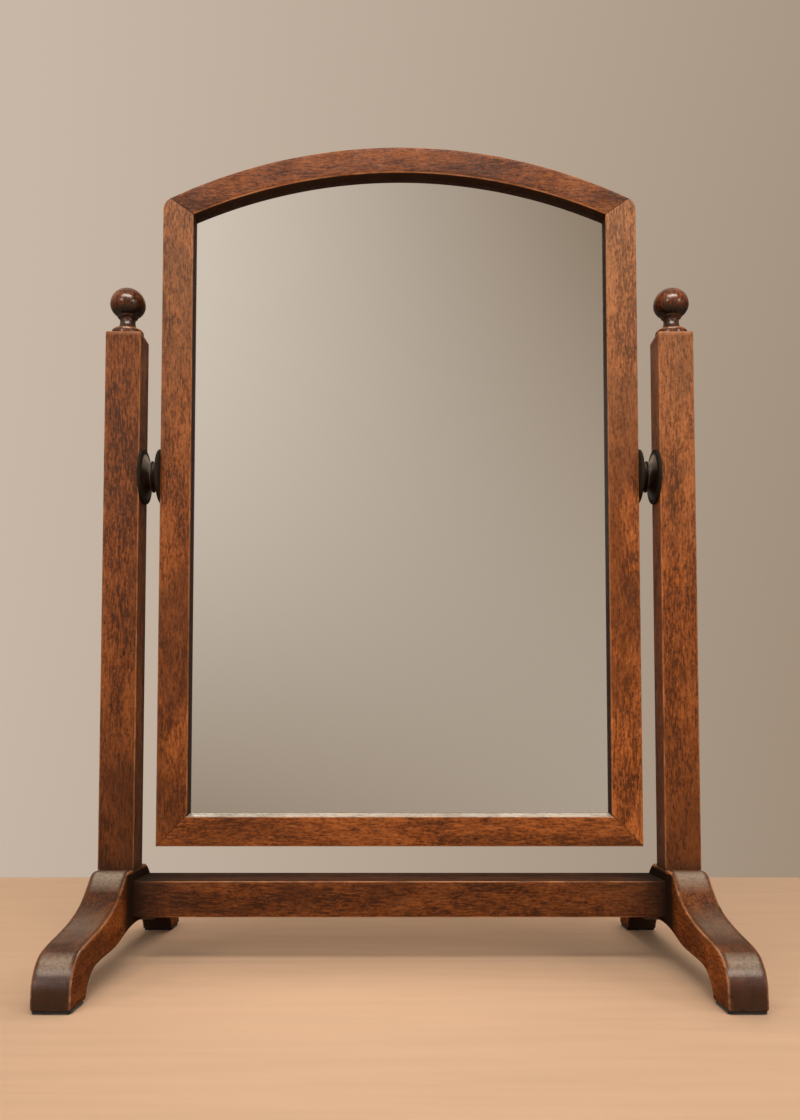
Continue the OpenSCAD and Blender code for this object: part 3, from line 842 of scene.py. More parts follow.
class MIRROR_OT_posts(Operator):
    """Model the two posts, with a recess for the pivot bolt's head"""
    bl_idname = "mirror.posts"
    bl_label = "Posts"

    def execute(self, context):
        stand = sizes("stand_sizes")
        low = Vector((LOW["right_post"].x, LOW["right_post"].y, stand.block_top))
        high = Vector((HIGH["right_post"].x, HIGH["right_post"].y, stand.post_top))
        recess, top_arris = 9 * MM, 1.2 * MM
        post = block("right_post_wood", low, high)
        rim = 3.5 * MM
        loops(X, (low.x + rim, high.x - rim))
        loops(Y, (low.y + rim, high.y - rim))
        loops(Z, (low.z + rim, low.z + 10 * MM, low.z + 20 * MM, PIVOT_Z - 14 * MM, PIVOT_Z + 14 * MM,
                  high.z - 22 * MM, high.z - 12 * MM, high.z - 6 * MM, high.z - rim))
        pick(post, "EDGE", lambda e: sharp(e) and middle(e).z > low.z + 0.1 * MM)
        round_edges(stand.post_arris)
        done(post)
        drill_out(post, cylinder(recess, 14 * MM, 64, (high.x, 0, PIVOT_Z), (0, QUARTER, 0)))

        def in_recess(p):
            return math.hypot(p.y, p.z - PIVOT_Z) <= recess + 1 * MM

        # Dirt and painted shade: in the bolt's recess, where the post meets the foot, and just under the
        # finial
        def dirt_and_shade(p):
            foot = 0.5 * thinning(p.z - low.z, 6 * MM)
            finial = 0.3 * thinning(high.z - p.z, 9 * MM) * (p.z < high.z - top_arris)
            return 0.8 * in_recess(p) + foot + finial

        mark_arrises(post, lambda p: not in_recess(p))
        # A pale top arris: worn wood and a painted highlight where the light catches the edge
        mark(post, "worn", lambda p: 0.6 * (high.z - top_arris < p.z < high.z - 0.2 * MM), over=True)
        mark(post, "shade", dirt_and_shade)
        other = mirrored(post, "left_post_wood")
        # The left post's darker share and weaker top sheen, against the right's, are painted shade and
        # light across the stand
        for obj, node, heart, share, tilt, fade, bleach in (
                (post, "right_post", (262, 34, 300), 0.98, 2.5, 0.46, 0.18),
                (other, "left_post", (-168, 46, 120), 0.71, 4, 0.36, 0.02)):
            grain = walnut("walnut_" + node, "Z", heart, share, tilt=tilt, wear=0.5,
                           fade=(60, 240, fade), bleach=(260, 480, bleach))
            finish(obj, "stand", grain, node)
        return {"FINISHED"}


class MIRROR_OT_rail(Operator):
    """Model the flat rail between the feet"""
    bl_idname = "mirror.rail"
    bl_label = "Stretcher rail"

    def execute(self, context):
        low, high = LOW["stretcher_rail"], HIGH["stretcher_rail"]
        rail = block("stretcher_rail_wood", low, high)
        rim = 3 * MM
        loops(Y, (low.y + rim, high.y - rim))
        loops(Z, (low.z + rim, high.z - rim))
        loops(X, [high.x * k / 6 for k in range(-5, 6)])
        pick(rail, "EDGE", lambda e: sharp(e) and abs(middle(e).x) < high.x - 0.1 * MM)
        round_edges(sizes("stand_sizes").rail_arris)
        done(rail)
        mark_arrises(rail, lambda p: abs(p.x) < high.x - 0.1 * MM)

        # Loops near the ends, along which the dirt and the painted shade thin out
        edit(rail)
        loops(X, [side * (high.x - d * MM) for side in (-1, 1) for d in (4, 9, 16, 26)])
        done(rail)

        # Darker towards the ends, where the rail meets the feet, as dirt and painted shade; darker on the
        # top under the frame, as dust and painted shade
        def dirt_and_shade(p):
            ends = 1.1 * thinning(high.x - abs(p.x), 17 * MM)
            return ends + (0.45 if p.z > high.z - 0.05 * MM else 0)

        mark(rail, "shade", dirt_and_shade)
        finish(rail, "stand", walnut("walnut_rail", "X", (-60, -60, 10), 0.5, tilt=6, wear=0.85),
               "stretcher_rail")
        return {"FINISHED"}


def frame_places():
    """The planes, corners and mitres that the members of the mirror frame share."""
    size = sizes("frame_sizes")
    at = SimpleNamespace(half=HIGH["right_stile"].x, low=LOW["bottom_rail"].z, top=HIGH["arched_rail"].z,
                         front=LOW["bottom_rail"].y, back=HIGH["bottom_rail"].y)
    at.sight_x = at.half - size.stile
    at.sight_z = at.low + size.sill
    at.sight_centre = at.top - size.arch - size.sight_radius
    at.corner_z = at.sight_centre + math.sqrt(size.sight_radius ** 2 - at.sight_x ** 2)
    at.arch_centre = at.top - size.outer_radius
    inner = size.outer_radius - size.shoulder
    at.shoulder_z = at.arch_centre + math.sqrt(inner ** 2 - (at.half - size.shoulder) ** 2)
    at.glass = at.front + size.lip
    at.board = at.back - size.board
    up = Vector((-math.sin(size.mitre), 0, math.cos(size.mitre)))
    down = Vector((-size.sill, 0, -size.stile)).normalized()
    at.upper = Vector((at.sight_x, 0, at.corner_z)), up
    at.lower = Vector((at.sight_x, 0, at.sight_z)), down
    return at


class MIRROR_OT_frame(Operator):
    """Model the stiles, the bottom rail and the arched rail, and saw their mitres"""
    bl_idname = "mirror.frame"
    bl_label = "Mirror frame"

    def build_up(self, obj, size, at, beyond):
        """Raises what lies beyond the rebate to the board's plane, and what the board laps to the back."""
        for reach, rise in ((size.rebate, at.board - at.glass), (size.lap, size.board)):
            pick(obj, "FACE", lambda face: face.normal.y > 0.9 and beyond(face.calc_center_median(), reach))
            pull((0, rise, 0))

    def ease(self, obj, size, at, keep):
        """Rounds the arrises of the front and of the back at the places to keep."""
        def arris(edge):
            p = middle(edge)
            level = near(edge.verts[0].co.y, edge.verts[1].co.y)
            return sharp(edge, 40) and level and (near(p.y, at.front) or near(p.y, at.back)) and keep(p)

        pick(obj, "EDGE", arris)
        round_edges(size.arris)

    def stile(self, size, at):
        top = at.shoulder_z + size.shoulder
        stile = block("right_stile_wood", (at.sight_x, at.front, at.low), (at.half, at.glass, top))
        loops(X, (at.sight_x + 4 * MM, at.sight_x + size.rebate, at.sight_x + size.lap))
        self.build_up(stile, size, at, lambda p, reach: p.x > at.sight_x + reach)
        pick(stile, "VERT", lambda v: near(v.co.x, at.sight_x) and near(v.co.y, at.front))
        shift((SPLAY, 0, 0))
        pick(stile, "EDGE", lambda e: near(middle(e).x, at.half) and near(middle(e).z, top))
        round_edges(size.shoulder, 12)
        loops(X, (at.half - 3 * MM,))
        loops(Y, (at.front + 1.2 * MM, at.front + 3 * MM, at.back - 3 * MM))
        self.ease(stile, size, at, lambda p: p.x > at.sight_x + 0.5 * MM)
        loops(Z, [at.low + (top - at.low) * k / 24 for k in range(2, 23)])
        loops(Z, [at.low + k * MM for k in (3, 8, 13, 18, 23, 29)])
        loops(Z, [at.corner_z + k * MM for k in (-6, -1, 3, 7, 11)])
        return stile

    def sill(self, size, at):
        sill = block("bottom_rail_wood", (-at.half, at.front, at.low), (at.half, at.glass, at.sight_z))
        loops(Z, (at.low + 3 * MM, at.sight_z - size.lap, at.sight_z - size.rebate))
        self.build_up(sill, size, at, lambda p, reach: p.z < at.sight_z - reach)
        pick(sill, "VERT", lambda v: near(v.co.z, at.sight_z) and near(v.co.y, at.front))
        shift((0, 0, -SILL_SPLAY))
        loops(Y, (at.front + 1.2 * MM, at.front + 3 * MM, at.glass - 1.2 * MM, at.back - 3 * MM))
        self.ease(sill, size, at, lambda p: abs(p.x) < at.half - 1 * MM)
        loops(X, [at.half * k / 14 for k in range(-12, 13)])
        loops(X, [side * (at.half - k * MM) for side in (-1, 1) for k in (4, 9, 14, 19)])
        return sill

    def arch(self, size, at):
        c, r = at.sight_centre, size.sight_radius
        front, back, top = at.front, at.back, at.top - c
        lap, rebate = r + size.lap, r + size.rebate
        section = [(front + 3 * MM, r + 0.6 * MM), (front + 1.2 * MM, r + 0.85 * MM),
                   (front, r + SPLAY), (front, r + 4 * MM), (front, top - 3 * MM), (front, top),
                   (front + 3 * MM, top), (back - 3 * MM, top), (back, top), (back, lap),
                   (at.board, lap), (at.board, rebate), (at.glass, rebate), (at.glass, r)]
        reach = math.radians(28)
        start = [Vector((z * math.sin(reach), y, c + z * math.cos(reach))) for y, z in section]
        arch = trace("arched_rail_wood", start, closed=True)
        spun(96, 2 * reach, (0, 0, c), (0, 1, 0))
        mesh = bmesh.from_edit_mesh(arch.data)
        if abs(sum(v.co.x for v in mesh.verts)) > 1 * MM * len(mesh.verts):
            raise RuntimeError("the arched rail was turned the wrong way")
        rise = at.arch_centre - c
        for v in mesh.verts:
            flat = Vector((v.co.x, v.co.z - c))
            if flat.length > lap + 2 * MM:
                lean = flat.x / flat.length
                outer = rise * math.sqrt(1 - lean ** 2)
                outer += math.sqrt(size.outer_radius ** 2 - (rise * lean) ** 2)
                grown = flat * ((flat.length + outer - top) / flat.length)
                v.co.x, v.co.z = grown.x, grown.y + c
        bmesh.update_edit_mesh(arch.data)
        self.ease(arch, size, at, lambda p: math.hypot(p.x, p.z - c) > r + 0.5 * MM)
        return arch

    def saw_ends(self, obj, point, normal):
        """Saws the mitres at both ends of a member."""
        for side in (-1, 1):
            saw_joint(obj, (side * point.x, 0, point.z), (-side * normal.x, 0, -normal.z))
        return done(obj)

    def wear_dirt_and_shade(self, obj, at, mitres, crisp, dirt_and_shade):
        """Marks the worn arrises of the two faces, away from the mitres, then the dirt, the black paint and
        the painted shade.
        """
        def cut(p):
            return any(near((Vector((abs(p.x), 0, p.z)) - point).dot(normal), 0, 0.3 * MM)
                       for point, normal in mitres)

        def shown(p):
            return not cut(p) and not at.front + 1 * MM < p.y < at.back - 1 * MM

        mark_arrises(obj, shown, crisp=crisp)
        mark(obj, "shade", lambda p: dirt_and_shade(p, cut(p)))

    def execute(self, context):
        size = sizes("frame_sizes")
        at = frame_places()

        def reveal(p, past):
            """Black paint inside the sight edge, from just behind the front arris, standing also for
            painted shade in the narrow reveal.
            """
            if past > 0.05 * MM or p.y > at.glass + 0.1 * MM:
                return 0
            return (p.y - at.front - 0.7 * MM) / (0.4 * MM)

        def stile_dirt_and_shade(p, cut):
            return max(reveal(p, p.x - at.sight_x - SPLAY), 0.6 * cut)

        # A painted shadow along the ledge's back edge, where it meets the glass, and dark lines in the
        # mitres
        def sill_dirt_and_shade(p, cut):
            return max(0.8 * (p.z > at.sight_z - 0.1 * MM), 0.5 * cut)

        def arch_dirt_and_shade(p, cut):
            past = math.hypot(p.x, p.z - at.sight_centre) - size.sight_radius - SPLAY
            return max(reveal(p, past), 0.6 * cut)

        stile = self.stile(size, at)
        for mitre in (at.upper, at.lower):
            saw_joint(stile, *mitre)
        self.wear_dirt_and_shade(done(stile), at, (at.upper, at.lower), 0.35, stile_dirt_and_shade)
        sill = self.saw_ends(self.sill(size, at), *at.lower)
        self.wear_dirt_and_shade(sill, at, (at.lower,), 1, sill_dirt_and_shade)
        arch = self.saw_ends(self.arch(size, at), *at.upper)
        self.wear_dirt_and_shade(arch, at, (at.upper,), 0.35, arch_dirt_and_shade)
        other = mirrored(stile, "left_stile_wood")
        corner = at.corner_z / MM
        # The right stile's lighter share and stronger top sheen, against the left's, are painted light and
        # shade across the frame
        for obj, node, grain, heart, share, tilt, wear, bleached in (
                (stile, "right_stile", "Z", (196, 60, 400), 1.11, 2.0, 0.6, 0.3),
                (other, "left_stile", "Z", (-150, 52, 250), 0.84, 3.0, 0.6, 0.18),
                (arch, "arched_rail", "X", (40, 48, 640), 0.74, 2.0, 0.9, 0.0),
                (sill, "bottom_rail", "X", (-90, 40, 60), 0.92, 5.0, 0.6, 0)):
            wood_of = walnut("walnut_" + node, grain, heart, share, tilt=tilt, wear=wear,
                             bleach=(corner - 260, corner + 20, bleached))
            finish(obj, "mirror", wood_of, node)
        # The ledge of the bottom rail: rubbed pale, and painted with a grey sheen as a reflection of the
        # light
        bare = wood("rubbed_ledge", "X", (-90, 40, 60), shades("bloom", 1.3, 1, 0.45), wear=0.6, coat=0.1)
        ledge = at.sight_z - SILL_SPLAY - 0.1 * MM
        second(sill, bare, lambda face: face.normal.z > 0.5 and face.center.y < at.glass
               and face.center.z > ledge)
        return {"FINISHED"}


def arched_plate(name, node):
    """A plate with an arched top that fills a node's box, in edit mode."""
    low, high, centre = LOW[node], HIGH[node], frame_places().sight_centre
    radius, steps = high.z - centre, 48
    reach = math.asin(high.x / radius)
    turns = [reach - 2 * reach * k / steps for k in range(steps + 1)]
    points = [(-high.x, low.y, low.z), (high.x, low.y, low.z)]
    points += [(radius * math.sin(a), low.y, centre + radius * math.cos(a)) for a in turns]
    plate = trace(name, points, closed=True)
    bpy.ops.mesh.edge_face_add()
    pull((0, high.y - low.y, 0))
    outwards()
    return plate


class MIRROR_OT_glass(Operator):
    """Model the silvered glass with ground edges and a painted back"""
    bl_idname = "mirror.glass"
    bl_label = "Glass"

    def execute(self, context):
        low, high, centre = LOW["mirror_glass"], HIGH["mirror_glass"], frame_places().sight_centre
        rim = 9 * MM
        glass = arched_plate("mirror_glass_plate", "mirror_glass")
        pick(glass, "FACE", lambda face: face.normal.y < -0.9)
        inset(rim)
        pick(glass, "EDGE", lambda e: sharp(e, 60))
        round_edges(0.3 * MM, 1)
        done(glass)

        def border(p):
            edge = min(high.x - abs(p.x), p.z - low.z, high.z - centre - math.hypot(p.x, p.z - centre))
            return 1 - edge / rim

        mark(glass, "worn", border)
        finish(glass, "mirror", silvered("silvered_glass"), "mirror_glass", smooth=20)
        second(glass, painted_back("glass_back_paint"), lambda face: face.normal.y >= -0.9)
        return {"FINISHED"}


class MIRROR_OT_backing(Operator):
    """Model the backing board and the slotted brass screws that hold it"""
    bl_idname = "mirror.backing"
    bl_label = "Backing board"

    def screw_places(self):
        """The screws' X and Z: four on each side, then three below and three along the arch."""
        at = frame_places()
        size = sizes("frame_sizes")
        line = (size.rebate + size.lap) / 2
        tall = at.corner_z - at.sight_z
        spots = [(side * (at.sight_x + line), at.sight_z + k * tall)
                 for side in (1, -1) for k in (0.1, 0.38, 0.7, 0.93)]
        spots += [(k * at.sight_x, at.sight_z - line) for k in (-0.6, 0, 0.6)]
        radius = size.sight_radius + line
        return spots + [(radius * math.sin(a), at.sight_centre + radius * math.cos(a))
                        for a in (math.radians(-14), 0, math.radians(14))]

    def execute(self, context):
        board = arched_plate("backing_board_pine", "backing_board")
        pick(board, "FACE", lambda face: abs(face.normal.y) > 0.9)
        inset(5 * MM)
        pick(board, "EDGE", lambda e: sharp(e, 60))
        round_edges(0.6 * MM)
        done(board)
        mark_arrises(board)

        spots = self.screw_places()
        back = frame_places().back
        drill = cylinder(3.05 * MM, 1.2 * MM, 32, turned=(QUARTER, 0, 0))
        drills = [place(spare(drill, "drill_copy"), (x, back, z), drill.rotation_euler) for x, z in spots]
        bpy.data.objects.remove(drill)
        drill_out(board, join(drills, "drills"))
        pine = wood("aged_pine", "Z", (30, 90, 200), shades("pine", 1.15, 1, 0.74), wear=0.35,
                    gloss=0.66, coat=0.0, tilt=1.5)
        finish(board, "mirror", pine, "backing_board")

        profile = [(0, -12), (1.0, -10.6), (1.5, -9.5), (1.5, -1.35), (2.75, -0.12), (2.75, -0.03),
                   (1.9, 0.06), (1.0, 0.12), (0, 0.14)]
        model = slot_in(turn("screw", profile), 0.14 * MM, 0.8 * MM, 0.36 * MM, 3 * MM)
        draw = random.Random(11)
        screws = []
        for x, z in spots:
            screw = place(spare(model, "screw_copy"), (0, 0, 0), (0, 0, draw.uniform(0, math.pi)))
            screws.append(place(screw, (x, back - 0.2 * MM, z), (-QUARTER, 0, 0)))
        bpy.data.objects.remove(model)
        screws = join(screws, "backing_screws_brass")
        finish(screws, "mirror", metal("aged_brass_screws", colour_of("brass", 0.7), 0.4, 0.5),
               "backing_screws")
        return {"FINISHED"}


class MIRROR_OT_finials(Operator):
    """Turn the ball finials on the posts"""
    bl_idname = "mirror.finials"
    bl_label = "Finials"

    def execute(self, context):
        turned = sizes("turned_sizes")
        post_top = sizes("stand_sizes").post_top
        ball, disc, neck = turned.ball / MM, turned.disc / MM, turned.neck / MM

        # The ball's middle, how far it reaches up and down from there, and the collar's radius under it
        middle_z, up, down, collar = 24.9, 12.7, 10.8, 7.4
        start = -math.acos(collar / ball)
        collar_z = middle_z + down * math.sin(start)
        profile = [(0, 0.02), (disc - 0.7, 0.02), (disc - 0.1, 0.3), (disc, 1.0), (disc, 2.6)]
        profile += curve((disc, 2.6), (disc, 4.3), (disc - 1, 4.9), (disc - 2.6, 5.1), 8)
        profile += [(disc - 2.9, 5.0), (disc - 3.1, 5.15)]
        profile += curve((disc - 3.1, 5.15), (neck + 1, 5.9), (neck, 9), (neck, 12), 10)
        profile += curve((neck, 12), (neck, 13.2), (collar - 0.9, collar_z - 1.9),
                         (collar - 0.4, collar_z - 1.5), 5)
        profile += [(collar + 0.15, collar_z - 1.1), (collar + 0.15, collar_z - 0.5),
                    (collar - 0.1, collar_z - 0.2), (collar, collar_z)]
        lower = [(start * (1 - k / 11), down) for k in range(1, 12)]
        upper = [(QUARTER * k / 18, up) for k in range(1, 18)]
        profile += [(ball * math.cos(a), middle_z + tall * math.sin(a)) for a, tall in lower + upper]
        profile.append((0, middle_z + up))
        finial = turn("right_finial_turned", profile)
        x = (LOW["right_finial"].x + HIGH["right_finial"].x) / 2
        place(finial, (x, 0, post_top))

        def dirt_and_shade(p):
            """Old polish and painted shade in the quirks, on the neck and under the ball, where the ball's
            lower half goes near black.
            """
            z = (p.z - post_top) / MM
            under = min(1, (middle_z + 1.5 - z) / 8) if z > collar_z else 0
            on_neck = 0.8 if 5 < z < collar_z else 0.4 * (z < 3)
            return max(0.75 * band(z, collar_z, 1.3), 0.7 * band(z, 5, 0.5), 0.8 * band(z, 0, 0.8),
                       under, on_neck)

        mark(finial, "shade", dirt_and_shade)
        # A pale rim on the disc: worn wood and a painted highlight on its rounding
        mark(finial, "worn", lambda p: 0.9 * band((p.z - post_top) / MM, 4, 1.1))
        polish = wood("turned_walnut", "Z", (15, 8, 0), shades("turned", 2.2, 1, 0.2), wear=0.6, gloss=0.26,
                      coat=0.5, polish=0.17, level=0.2, deep=colour_of("stain", 0.2),
                      sheen=srgb(255, 238, 215))
        finish_both(finial, "stand", polish, "finial", smooth=32)
        return {"FINISHED"}


def across(node):
    """How far a right-hand piece of the pivot reaches across, in millimetres."""
    return (HIGH["right_" + node].x - LOW["right_" + node].x) / MM


def on_pivot(obj, x, way=1):
    """Lays a turned piece along the pivot, its foot at a place across, pointing out or in."""
    return place(obj, (x, 0, PIVOT_Z), (0, way * QUARTER, 0))


class MIRROR_OT_spools(Operator):
    """Turn the dark spools that the frame swings on, and the leather washers at their waists"""
    bl_idname = "mirror.spools"
    bl_label = "Spools"

    def boss(self, node, bore):
        turned = sizes("turned_sizes")
        rim, waist, long = turned.rim / MM, turned.waist / MM, across(node)
        profile = [(bore, 0), (rim - 0.5, 0), (rim - 0.1, 0.15), (rim, 0.5), (rim, 1.5), (rim - 0.15, 1.9),
                   (rim - 0.5, 2.2)]
        profile += curve((rim - 0.5, 2.0), (rim - 4.2, 2.3), (waist + 1.4, 3.8),
                         (waist + 0.1, long - 0.8), 14)
        profile += [(waist, long - 0.5), (waist - 0.15, long - 0.2), (waist - 0.5, long), (bore, long)]
        return turn("right_" + node + "_turned", profile, closed=True)

    def execute(self, context):
        dark = wood("ebonised_spool", "Z", (0, 9, 340), shades("ebonised", 2.1, 1, 0.4), wear=0.0,
                    gloss=0.32, coat=0.0, level=0.32, deep=colour_of("stain", 0.2),
                    sheen=srgb(255, 232, 205))
        post_seat, frame_seat = HIGH["right_post_boss"].x, LOW["right_frame_boss"].x
        post_boss = on_pivot(self.boss("post_boss", 5.05), post_seat, -1)
        frame_boss = on_pivot(self.boss("frame_boss", 3.1), frame_seat)
        bore, rim, thick = 3.35, HIGH["right_friction_washer"].y / MM, across("friction_washer")
        washer = turn("right_friction_washer_leather",
                      [(bore, 0), (rim - 0.4, 0), (rim - 0.1, 0.2), (rim, thick / 2),
                       (rim - 0.1, thick - 0.2), (rim - 0.4, thick), (bore, thick)], closed=True)
        on_pivot(washer, LOW["right_friction_washer"].x)
        for obj, node, body, seat in ((post_boss, "post_boss", "stand", post_seat),
                                      (frame_boss, "frame_boss", "mirror", frame_seat)):
            def off_seat(p):
                return abs(p.x - seat) / MM

            mark_arrises(obj, lambda p: math.hypot(p.y, p.z - PIVOT_Z) > 18 * MM)
            # Painted shade on the flat faces where a spool sits against the post or the stile
            mark(obj, "shade", lambda p: 0.85 * (1 - (off_seat(p) - 2.1) / 0.6))
            # A grey painted sheen on the upper half of the flares, where the light falls on them
            mark(obj, "bloom", lambda p: 0.4 * (p.z - PIVOT_Z - 1 * MM) / (5 * MM) * (off_seat(p) > 2.6))
            finish_both(obj, body, dark, node)
        finish_both(washer, "stand", leather("friction_leather"), "friction_washer")
        return {"FINISHED"}


class MIRROR_OT_pivots(Operator):
    """Model the pivot bolts with slotted heads, their bushes and spring washers"""
    bl_idname = "mirror.pivots"
    bl_label = "Pivot bolts"

    def execute(self, context):
        steel = metal("worn_steel", colour_of("steel"), 0.3, 0.6)
        brass = metal("aged_brass", colour_of("brass"), 0.3, 0.6)
        start = LOW["right_pivot_bolt"].x
        tip = (LOW["right_frame_boss"].x - start) / MM
        head = (HIGH["right_spring_washer"].x - start) / MM
        top = across("pivot_bolt")
        bolt = turn("right_pivot_bolt_steel",
                    [(0, 0), (1.9, 0), (2.5, 0.7), (2.5, tip), (3, tip + 0.02), (3, head), (5.7, head),
                     (6, head + 0.3), (6, top - 1.2), (5.75, top - 0.75), (4.8, top - 0.3),
                     (2.6, top - 0.05), (0, top)])
        slot_in(bolt, top * MM, 1.4 * MM, 0.65 * MM, 6.2 * MM)
        place(bolt, (0, 0, 0), (0, 0, math.radians(28)))
        bore, long, thick = 3.05, across("bush"), across("spring_washer")
        bush = turn("right_bush_brass",
                    [(bore, 0), (5, 0), (5, long - 1.5), (7.2, long - 1.5), (7.5, long - 1.2),
                     (7.5, long - 0.35), (7.15, long), (3.4, long), (bore, long - 0.35)], closed=True)
        spring = turn("right_spring_washer_steel",
                      [(bore, 0.4), (3.3, 0.25), (6.3, 0), (6.5, 0.15), (6.5, thick - 0.5),
                       (6.3, thick - 0.35), (3.3, thick), (bore, thick - 0.1)], closed=True)
        for obj, body, node, material, slot in ((bolt, "mirror", "pivot_bolt", steel, "steel"),
                                                (bush, "stand", "bush", brass, "brass"),
                                                (spring, "mirror", "spring_washer", steel, "steel")):
            on_pivot(obj, LOW["right_" + node].x)
            finish_both(obj, body, material, node)
        return {"FINISHED"}


class MIRROR_OT_underside(Operator):
    """Model the felt pads and the screws under the feet"""
    bl_idname = "mirror.underside"
    bl_label = "Pads and foot screws"

    def execute(self, context):
        margin = 1.5 * MM
        inner, outer = LOW["right_foot"].x + margin, HIGH["right_foot"].x - margin
        reach, thick = HIGH["foot_pads"].y, HIGH["foot_pads"].z
        long = sizes("stand_sizes").sole - 2 * margin
        pads = []
        for side in (-1, 1):
            start, end = sorted((side * reach, side * (reach - long)))
            pad = block("pad", (inner, start, 0), (outer, end, thick))
            loops(X, [inner + (outer - inner) * k / 12 for k in range(1, 12)])
            loops(Y, [start + long * k / 13 for k in range(1, 13)])
            pick(pad, "EDGE", lambda e: sharp(e, 60) and near(e.verts[0].co.x, e.verts[1].co.x)
                 and near(e.verts[0].co.y, e.verts[1].co.y))
            round_edges(2.2 * MM)
            pick(pad, "EDGE", lambda e: sharp(e, 60) and middle(e).z < 0.1 * MM)
            round_edges(0.35 * MM, 2)
            pads += [done(pad), mirrored(pad, "pad")]
        pads = join(pads, "foot_pads_felt")
        finish(pads, "stand", felt("pad_felt"), "foot_pads")

        crown = LOW["foot_screws"].z
        long = (HIGH["foot_screws"].z - crown) / MM
        model = turn("foot_screw", [(0, -long), (2, 4 - long), (2, -2), (3.95, -0.12), (3.95, -0.04),
                                    (2.6, 0), (0, 0.02)])
        slot_in(model, 0.02 * MM, 1.0 * MM, 0.5 * MM, 4.1 * MM)
        x = (LOW["right_post"].x + HIGH["right_post"].x) / 2
        place(model, (0, 0, 0), (0, 0, math.radians(35)))
        place(model, (x, 0, crown), (math.pi, 0, 0))
        screws = join([model, mirrored(model, "foot_screw_other")], "foot_screws_steel")
        finish(screws, "stand", metal("dull_steel", colour_of("steel"), 0.4, 0.8),
               "foot_screws", smooth=28)
        return {"FINISHED"}


class MIRROR_OT_joinery(Operator):
    """Finish the dowels, splines, wedges and inserts that the wood hides"""
    bl_idname = "mirror.joinery"
    bl_label = "Hidden joinery"

    def execute(self, context):
        pale = {axis: wood("softwood_" + axis.lower(), axis, (12, 30, 20), shades("pine", 1.4, 1.1, 0.6),
                           wear=0, gloss=0.6, coat=0.0) for axis in "XZ"}
        brass = metal("insert_brass", colour_of("brass"), 0.4, 0.5)
        for node, material in (("rail_dowels", pale["X"]), ("corner_splines", pale["Z"]),
                               ("glass_wedges", pale["Z"]), ("left_insert", brass),
                               ("right_insert", brass)):
            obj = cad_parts[node]
            if not obj.material_slots:
                obj.data.materials.append(material)
            for held in obj.material_slots:
                held.material = material
        return {"FINISHED"}


# Stage

